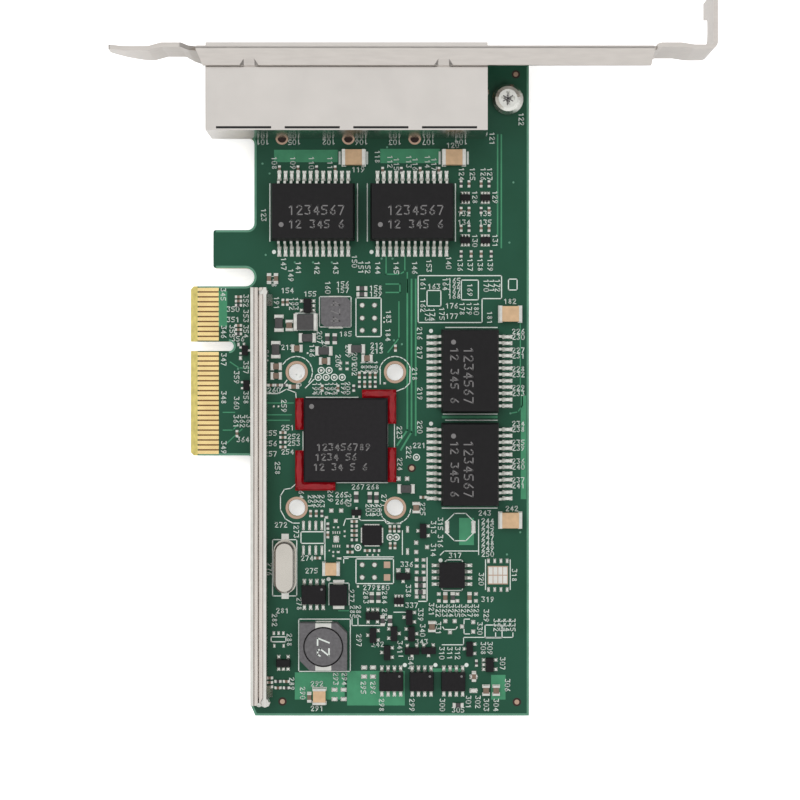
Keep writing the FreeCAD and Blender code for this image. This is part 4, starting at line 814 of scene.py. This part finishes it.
class CARD_OT_copper(bpy.types.Operator):
    """Lay the copper that shows through the lacquer: planes, tracks, vias and the pale rim"""
    bl_idname = "card.copper"
    bl_label = "Covered copper"

    def execute(self, context):
        board = context.scene.card_board
        high = TOP + board.copper_height
        low = UNDER - board.copper_height
        copper = bmesh.new()
        for plane in COVERED_PLANES:
            slab(copper, *plane, TOP, high)
        for width, tracks in TRACKS.items():
            for points in tracks:
                line(copper, points, width, TOP, high)
        for first, start, bend, end in UNDER_FANS:
            for n in range(UNDER_TRACKS):
                x = first + n * UNDER_TRACK_STEP
                fall = n * UNDER_TRACK_FALL
                points = [(x, start), (x, bend - fall), (x + UNDER_TRACK_REACH, end - fall)]
                line(copper, points, UNDER_TRACK_WIDTH, low, UNDER)
        for plane in UNDER_PLANES:
            slab(copper, *plane, low, UNDER)
        finish_piece("board_copper", copper, "covered_copper")
        vias = bmesh.new()
        for x, y in VIAS:
            disc(vias, x, y, TOP, TOP + board.print_height, VIA_RADIUS, 8)
            disc(vias, x, y, UNDER - board.print_height, UNDER, VIA_RADIUS, 8)
        finish_piece("vias", vias, "covered_rim")
        finish_piece("board_rim", self.rim_mesh(board), "covered_rim")
        return {"FINISHED"}

    def rim_mesh(self, board):
        """A pale band just inside the board's outline, where the lacquer lies on bare laminate."""
        mesh = bmesh.new()
        mesh.from_mesh(frame["nodes"]["circuit_board"].data)
        bmesh.ops.scale(mesh, vec=(1 / MM, 1 / MM, 1 / MM), verts=mesh.verts)
        bmesh.ops.remove_doubles(mesh, verts=mesh.verts, dist=1e-4)
        other = [face for face in mesh.faces
                 if face.normal.z < 0.9 or face.calc_center_median().z < TOP - THIN]
        bmesh.ops.delete(mesh, geom=other, context="FACES")
        band = bmesh.ops.inset_region(
            mesh, faces=mesh.faces[:], thickness=board.rim_width, use_boundary=True, use_even_offset=True,
        )["faces"]
        kept = {face for face in band if self.on_outline(face.calc_center_median())}
        bmesh.ops.delete(mesh, geom=[face for face in mesh.faces if face not in kept], context="FACES")
        raised = bmesh.ops.extrude_face_region(mesh, geom=mesh.faces[:], use_keep_orig=True)
        verts = [item for item in raised["geom"] if isinstance(item, bmesh.types.BMVert)]
        bmesh.ops.translate(mesh, vec=(0, 0, board.copper_height), verts=verts)
        return mesh

    def on_outline(self, point):
        """Whether a point of the band belongs to the outer edge and not to a hole or the contacts."""
        if point.x < contact_high.x:
            return False
        if any((Vector(hole) - point.xy).length < HOLE_REACH for hole in (*COOLER_HOLES, SCREW.xy)):
            return False
        if point.x < stiffener_low.x or point.x > BOARD_RIGHT - EDGE_REACH:
            return True
        if point.y < board_low.y + END_REACH:
            return True
        return HOOK_BASE < point.y < jack_low.y and point.x < stiffener_high.x


class CARD_OT_pads(bpy.types.Operator):
    """Lay pads, rings round the holes, solder joints, painted shade and highlights, and rounded crests of
    adhesive
    """
    bl_idname = "card.pads"
    bl_label = "Pads, rings and joints"

    def execute(self, context):
        board = context.scene.card_board
        self.make_pads(board)
        self.make_rings(board)
        self.make_grid(board)
        self.make_flux()
        self.make_star_shade()
        self.make_shade_and_rings()
        self.make_hem_highlights()
        self.make_joints()
        self.make_beads(board)
        return {"FINISHED"}

    def make_pads(self, board):
        """Tinned pads under leads and end caps, bare pads, and solder round the pins."""
        high = TOP + board.pad_height
        margin = board.pad_margin
        pads = bmesh.new()
        for name in frame["nodes"]:
            if not any(part in name for part in SOLDERED):
                continue
            level, outside = (UNDER, UNDER - board.pad_height) if name == UNDER_NODE else (TOP, high)
            for points in islands(name):
                x0, x1, y0, y1 = plan_box([point for point in points if abs(point.z - level) < LEAD_REACH])
                slab(pads, x0 - margin, x1 + margin, y0 - margin, y1 + margin, *sorted((level, outside)))
                if "_leads" in name:
                    cushion(pads, (x0 + x1) / 2, (y0 + y1) / 2, x1 - x0 + 3 * margin, y1 - y0 + 3 * margin,
                            TOP, LEAD_SOLDER)
        for x, y, length, width in spread_places(BARE_PADS, 4):
            patch(pads, x, y, length * PAD_FLAT, width * PAD_FLAT, TOP, high)
            cushion(pads, x, y, length * PAD_ROUND, width * PAD_ROUND, TOP, BARE_SOLDER)
        for x, y in ROUND_PINS:
            dome(pads, x, y, TOP, *PIN_DOME)
            dome(pads, x, y, UNDER, *PIN_DOME_UNDER)
        for x, y in TEST_POINTS:
            disc(pads, x, y, TOP, high, TEST_RADIUS)
        finish_piece("solder_pads", pads, "solder")

    def make_rings(self, board):
        """Bare metal round the holes, on the pins and under the leadless chip's place."""
        high = TOP + board.pad_height
        low = UNDER - board.pad_height
        rings = bmesh.new()
        for x, y in COOLER_HOLES:
            ring(rings, x, y, TOP, high, *HOLE_RING)
            ring(rings, x, y, low, UNDER, *HOLE_RING_UNDER)
        for x, y in LEG_HOLES:
            ring(rings, x, y, TOP, high, *LEG_RING)
        for x, y in FIDUCIALS:
            disc(rings, x, y, TOP, high, FIDUCIAL_RING[0])
        for x, y in COPPER_PINS:
            patch(rings, x, y, COPPER_PIN, COPPER_PIN, TOP, high)
            disc(rings, x, y, low, UNDER, COPPER_PIN / 2)
        patch(rings, *BELLY_PAD, TOP, high)
        finish_piece("bare_rings", rings, "ring_copper")

    def make_grid(self, board):
        """Tin on the cells of the leadless chip's place."""
        grid = bmesh.new()
        across, along = BELLY_GRID
        for n in range(across * along):
            x = BELLY_PAD[0] + (n % across - (across - 1) / 2) * BELLY_CELL[0]
            y = BELLY_PAD[1] + (n // across - (along - 1) / 2) * BELLY_CELL[1]
            patch(grid, x, y, *BELLY_TIN, TOP, TOP + board.pad_height + 2 * THIN)
        finish_piece("belly_pad_grid", grid, "tin_glint")

    def make_flux(self):
        """Brown residue between the contacts, left out at the key notch."""
        flux = bmesh.new()
        for y0, y1 in ((KEY_EDGE, contact_high.y), (contact_low.y, -KEY_EDGE)):
            slab(flux, FLUX_START, contact_high.x, y0, y1, TOP, TOP + FLUX_HEIGHT)
        finish_piece("contact_gaps", flux, "dark_flux")

    def make_star_shade(self):
        """Painted shade of the star recess driven into the bracket's screw."""
        star = bmesh.new()
        for turn in STAR_TURNS:
            reach = Vector((math.cos(math.radians(turn)), math.sin(math.radians(turn)))) * STAR_REACH
            line(star, [SCREW.xy - reach, SCREW.xy + reach], STAR_WIDTH,
                 screw_high.z - STAR_SINK, screw_high.z + THIN)
        finish_piece("screw_star", star, "mark_ink")

    def make_shade_and_rings(self):
        """Painted shade inside the leg holes and in the grooves along the stiffener's folds, and dark rings
        round the marks for machines.
        """
        shade_and_rings = bmesh.new()
        for x, y in LEG_HOLES:
            disc(shade_and_rings, x, y, UNDER + LEG_SHADOW_BASE, TOP + THIN, LEG_SHADOW, 16)
        for x, y in FIDUCIALS:
            ring(shade_and_rings, x, y, TOP, TOP + FIDUCIAL_HEIGHT, *FIDUCIAL_RING)
        for x in (stiffener_low.x + SHADE_LINE_INSET, stiffener_high.x - SHADE_LINE_INSET):
            slab(shade_and_rings, x - SHADE_LINE_WIDTH / 2, x + SHADE_LINE_WIDTH / 2, stiffener_low.y, stiffener_high.y,
                 *[stiffener_high.z - depth for depth in SHADE_LINE_DEPTH])
        finish_piece("dark_seams", shade_and_rings, "hole_shadow")

    def make_hem_highlights(self):
        """Painted highlights along the stiffener's two upper edges."""
        hem_highlights = bmesh.new()
        for x in (stiffener_low.x + HIGHLIGHT_INSET, stiffener_high.x - HIGHLIGHT_INSET):
            slab(hem_highlights, x - HIGHLIGHT_WIDTH / 2, x + HIGHLIGHT_WIDTH / 2, stiffener_low.y, stiffener_high.y,
                 stiffener_high.z - 2 * THIN, stiffener_high.z + THIN)
        finish_piece("tinned_hems", hem_highlights, "tin_glint")

    def make_joints(self):
        """Solder where pins and legs leave the board, and lumps at the stiffener's ends."""
        joints = bmesh.new()
        for points in islands("jack_contacts"):
            x0, x1, y0, y1 = plan_box([point for point in points if point.z < UNDER])
            cone(joints, (x0 + x1) / 2, (y0 + y1) / 2, UNDER, *PIN_CONE)
        for x, y in LEG_HOLES:
            cone(joints, x, y + LEG_CONE_SHIFT, UNDER, *LEG_CONE)
        for x, y, radius, height in BLOBS:
            dome(joints, x, y, stiffener_high.z - BLOB_SINK, radius, height)
        finish_piece("solder_joints", joints, "solder")

    def make_beads(self, board):
        """Rounded crests of adhesive along the arms of each corner bond."""
        beads = bmesh.new()
        wide = board.bond_width
        for name in frame["nodes"]:
            if not name.startswith("corner_bond"):
                continue
            low, high = node_box(name)
            reach = high - low
            level = high.z - CREST_SINK
            x = high.x - wide / 2 if name.endswith("right") else low.x + wide / 2
            cushion(beads, x, (low.y + high.y) / 2, wide, reach.y, level, CREST_HEIGHT)
            if reach.x > 2 * wide:
                y = high.y - wide / 2 if "upper" in name else low.y + wide / 2
                cushion(beads, (low.x + high.x) / 2, y, reach.x, wide, level, CREST_HEIGHT)
        finish_piece("adhesive_crests", beads, "adhesive")


class CARD_OT_print(bpy.types.Operator):
    """Print the white lines, dots and plain numbers on the board and the grey marks on the cases"""
    bl_idname = "card.print"
    bl_label = "Print and marks"

    def execute(self, context):
        board = context.scene.card_board
        high = TOP + board.print_height
        self.print_lines(board, high)
        numbers = bmesh.new()
        for n, place in enumerate(spread_places(NUMBERS, 3)):
            number(numbers, str(FIRST_NUMBER + n), place, board.number_size, board.number_stroke, TOP, high)
        finish_piece("printed_numbers", numbers, "print_ink")
        self.mark_cases(board)
        return {"FINISHED"}

    def print_lines(self, board, high):
        """White lines, frames, arcs, bars, dots and rings."""
        lines = bmesh.new()
        for width, strokes in PRINTED_LINES.items():
            for points in strokes:
                line(lines, points, width, TOP, high)
        for plan in PRINTED_FRAMES:
            frame_line(lines, *plan, FRAME_WIDTH, TOP, high)
        for hole, start, end in PRINTED_ARCS:
            line(lines, arc_points(*COOLER_HOLES[hole], board.arc_radius, start, end), ARC_WIDTH, TOP, high)
        hole = Vector(COOLER_HOLES[TAILED_HOLE])
        for points in ARC_TAILS:
            line(lines, [hole + Vector(point) for point in points], ARC_WIDTH, TOP, high)
        line(lines, arc_points(*OCTAGON), ARC_WIDTH, TOP, high)
        for x, y in PRINTED_BARS:
            patch(lines, x, y, *BAR_SIZE, TOP, high)
        for x, y in PRINTED_DOTS:
            disc(lines, x, y, TOP, high, DOT_RADIUS)
        for x, y in TEST_POINTS:
            ring(lines, x, y, TOP, high, *TEST_RING, 16)
        finish_piece("printed_lines", lines, "print_ink")

    def mark_cases(self, board):
        """Grey dots and numbers on the cases, and a white number on the inductor's drum."""
        marks = bmesh.new()
        for node, x, y in CASE_DOTS:
            crown = node_box(node)[1].z
            disc(marks, x, y, crown, crown + board.print_height, CASE_DOT)
        for node, text, place, size in CASE_NUMBERS:
            crown = node_box(node)[1].z
            number(marks, text, place, size, CASE_STROKE, crown, crown + board.print_height)
        for points in islands("eight_pin_chips"):
            _, x1, _, y1 = plan_box(points)
            crown = max(point.z for point in points)
            disc(marks, x1 - SMALL_CASE_INSET, y1 - SMALL_CASE_INSET, crown, crown + board.print_height,
                 SMALL_CASE_DOT)
        finish_piece("case_marks", marks, "mark_ink")
        low, high = node_box("inductor_drum")
        middle = (low + high) / 2
        bright = bmesh.new()
        number(bright, DRUM_NUMBER, (middle.x, middle.y, 1), DRUM_NUMBER_SIZE, DRUM_STROKE,
               high.z, high.z + board.print_height)
        finish_piece("drum_number", bright, "print_ink")


class CARD_OT_small_parts(bpy.types.Operator):
    """Set the smallest chip resistors, capacitors and transistors on the board"""
    bl_idname = "card.small_parts"
    bl_label = "Small parts"

    def execute(self, context):
        dark, brown, moulded, ends = [bmesh.new() for _ in range(4)]
        for place in DARK_0603:
            self.set_part(dark, ends, place, SIZE_0603)
        for place in BROWN_0603:
            self.set_part(brown, ends, place, SIZE_0603)
        for place in TINY_TRANSISTORS:
            self.set_transistor(moulded, ends, *place)
        for n, place in enumerate(spread_places(PARTS_0402, 3)):
            self.set_part(brown if n % 3 else dark, ends, place, SIZE_0402)
        finish_piece("tiny_transistors", moulded, "small_chip_mould")
        finish_piece("small_dark_parts", dark, "ceramic_dark")
        finish_piece("small_brown_parts", brown, "ceramic_brown")
        finish_piece("small_part_ends", ends, "end_cap")
        return {"FINISHED"}

    def set_transistor(self, body, ends, x, y, upright):
        """A moulded block with two legs on one side and one on the other."""
        length, width, height = TRANSISTOR_SIZE
        leg_length, leg_width, leg_height = TRANSISTOR_LEG
        self.set_block(body, x, y, 0, 0, length, width, height, upright)
        for along, across in TRANSISTOR_LEGS:
            self.set_block(ends, x, y, along, across, leg_length, leg_width, leg_height, upright)

    def set_part(self, body, ends, place, size):
        """One chip part: a ceramic block between two end caps, each on a foot of solder."""
        x, y, turns = place
        length, width, height, cap = size
        self.set_block(body, x, y, 0, 0, length - 2 * cap, width, height, turns)
        for side in (-1, 1):
            for shift, rise in ((length - cap, CAP_RISE), (length + cap, FOOT_RISE)):
                self.set_block(ends, x, y, side * shift / 2, 0, cap, width * CAP_SPREAD, height * rise, turns)

    def set_block(self, mesh, x, y, along, across, length, width, height, turns):
        """A block on the board, set off from a middle along and across a part that may be upright."""
        if turns % 2:
            patch(mesh, x + across, y + along, width, length, TOP, TOP + height)
        else:
            patch(mesh, x + along, y + across, length, width, TOP, TOP + height)


class CARD_OT_stage(bpy.types.Operator):
    """Set the floor, lamps, surroundings and camera"""
    bl_idname = "card.stage"
    bl_label = "Stage"

    def execute(self, context):
        stage = context.scene.card_stage
        self.add_floor(context, stage)
        self.add_lamp(context, "key_lamp", KEY_PLACE, stage.key_power)
        self.add_lamp(context, "fill_lamp", FILL_PLACE, stage.key_power * FILL_SHARE)
        self.set_world(context, stage)
        self.add_camera(context, stage)
        return {"FINISHED"}

    def add_floor(self, context, stage):
        """A plain floor just under the card."""
        mesh = bmesh.new()
        bmesh.ops.create_grid(mesh, x_segments=1, y_segments=1, size=FLOOR_SIZE)
        bmesh.ops.translate(mesh, vec=(0, 0, cad_box[0].z - FLOOR_GAP), verts=mesh.verts)
        data = bpy.data.meshes.new("floor")
        mesh.to_mesh(data)
        mesh.free()
        data.materials.append(self.floor_material(stage))
        floor = bpy.data.objects.new("floor", data)
        context.scene.collection.objects.link(floor)

    def floor_material(self, stage):
        """A matte floor that the camera sees nearly white, with soft shadows kept."""
        made, tree, principled = shader("floor_paper")
        paper = (*stage.floor, 1)
        feed(tree, principled, {"Base Color": paper, "Roughness": 0.9, "Specular IOR Level": 0.1})
        seen = add(tree, "ShaderNodeLightPath", {}).outputs["Is Camera Ray"]
        strength = maths(tree, "MULTIPLY", seen, stage.glow)
        glow = add(tree, "ShaderNodeEmission", {"Color": paper, "Strength": strength})
        both = add(tree, "ShaderNodeAddShader", {0: principled.outputs["BSDF"], 1: glow.outputs["Emission"]})
        feed(tree, tree.nodes["Material Output"], {"Surface": both.outputs["Shader"]})
        return made

    def add_lamp(self, context, name, place, power):
        """A large soft lamp, aimed at the card and unseen in its metal."""
        data = bpy.data.lights.new(name, "AREA")
        data.shape = "SQUARE"
        data.size = LAMP_SIZE
        data.energy = power
        lamp = bpy.data.objects.new(name, data)
        lamp.location = place
        target = Vector((CHIP.x * MM, 0, 0))
        lamp.rotation_euler = (target - lamp.location).to_track_quat("-Z", "Y").to_euler()
        lamp.visible_glossy = False
        context.scene.collection.objects.link(lamp)

    def set_world(self, context, stage):
        """White surroundings, softer as light, and banded where metal mirrors them."""
        world = bpy.data.worlds.new("surroundings")
        world.use_nodes = True
        tree = world.node_tree
        path = add(tree, "ShaderNodeLightPath", {})
        where = add(tree, "ShaderNodeTexCoord", {}).outputs["Generated"]
        height = add(tree, "ShaderNodeSeparateXYZ", {"Vector": where}).outputs["Z"]
        mirrored = ramp(tree, height, [(at, [level] * 3) for at, level in MIRRORED_SKY])
        plain = mix(tree, path.outputs["Is Camera Ray"], (stage.sky, stage.sky, stage.sky, 1), (1, 1, 1, 1))
        seen = mix(tree, path.outputs["Is Glossy Ray"], plain, mirrored)
        feed(tree, tree.nodes["Background"], {"Color": seen, "Strength": 1})
        context.scene.world = world

    def add_camera(self, context, stage):
        """A camera straight above the card."""
        data = bpy.data.cameras.new("camera")
        data.lens = stage.lens
        data.sensor_width = SENSOR_WIDTH
        camera = bpy.data.objects.new("camera", data)
        camera.location = (*CAMERA_SPOT, TOP * MM + stage.camera_height)
        context.scene.collection.objects.link(camera)
        context.scene.camera = camera


class CARD_PT_panel(bpy.types.Panel):
    """The card's steps, in order"""
    bl_idname = "CARD_PT_panel"
    bl_label = "Network interface card"
    bl_space_type = "VIEW_3D"
    bl_region_type = "UI"
    bl_category = "Card"

    def draw(self, context):
        for step in STEPS:
            self.layout.operator(step.bl_idname)


STEPS = (CARD_OT_finishes, CARD_OT_copper, CARD_OT_pads, CARD_OT_print, CARD_OT_small_parts, CARD_OT_stage)
GROUPS = {
    "card_board": BoardSettings,
    "card_metal": MetalSettings,
    "card_plastic": PlasticSettings,
    "card_ceramic": CeramicSettings,
    "card_stage": StageSettings,
}


def register():
    for name, group in GROUPS.items():
        bpy.utils.register_class(group)
        setattr(bpy.types.Scene, name, bpy.props.PointerProperty(type=group))
    for part in (*STEPS, CARD_PT_panel):
        bpy.utils.register_class(part)


def unregister():
    for part in reversed((*STEPS, CARD_PT_panel)):
        bpy.utils.unregister_class(part)
    for name, group in GROUPS.items():
        delattr(bpy.types.Scene, name)
        bpy.utils.unregister_class(group)


def main():
    register()
    bpy.ops.card.finishes()
    bpy.ops.card.copper()
    bpy.ops.card.pads()
    bpy.ops.card.print()
    bpy.ops.card.small_parts()
    bpy.ops.card.stage()


if __name__ == "__main__":
    bpy.context.scene.view_settings.view_transform = "Standard"
    main()
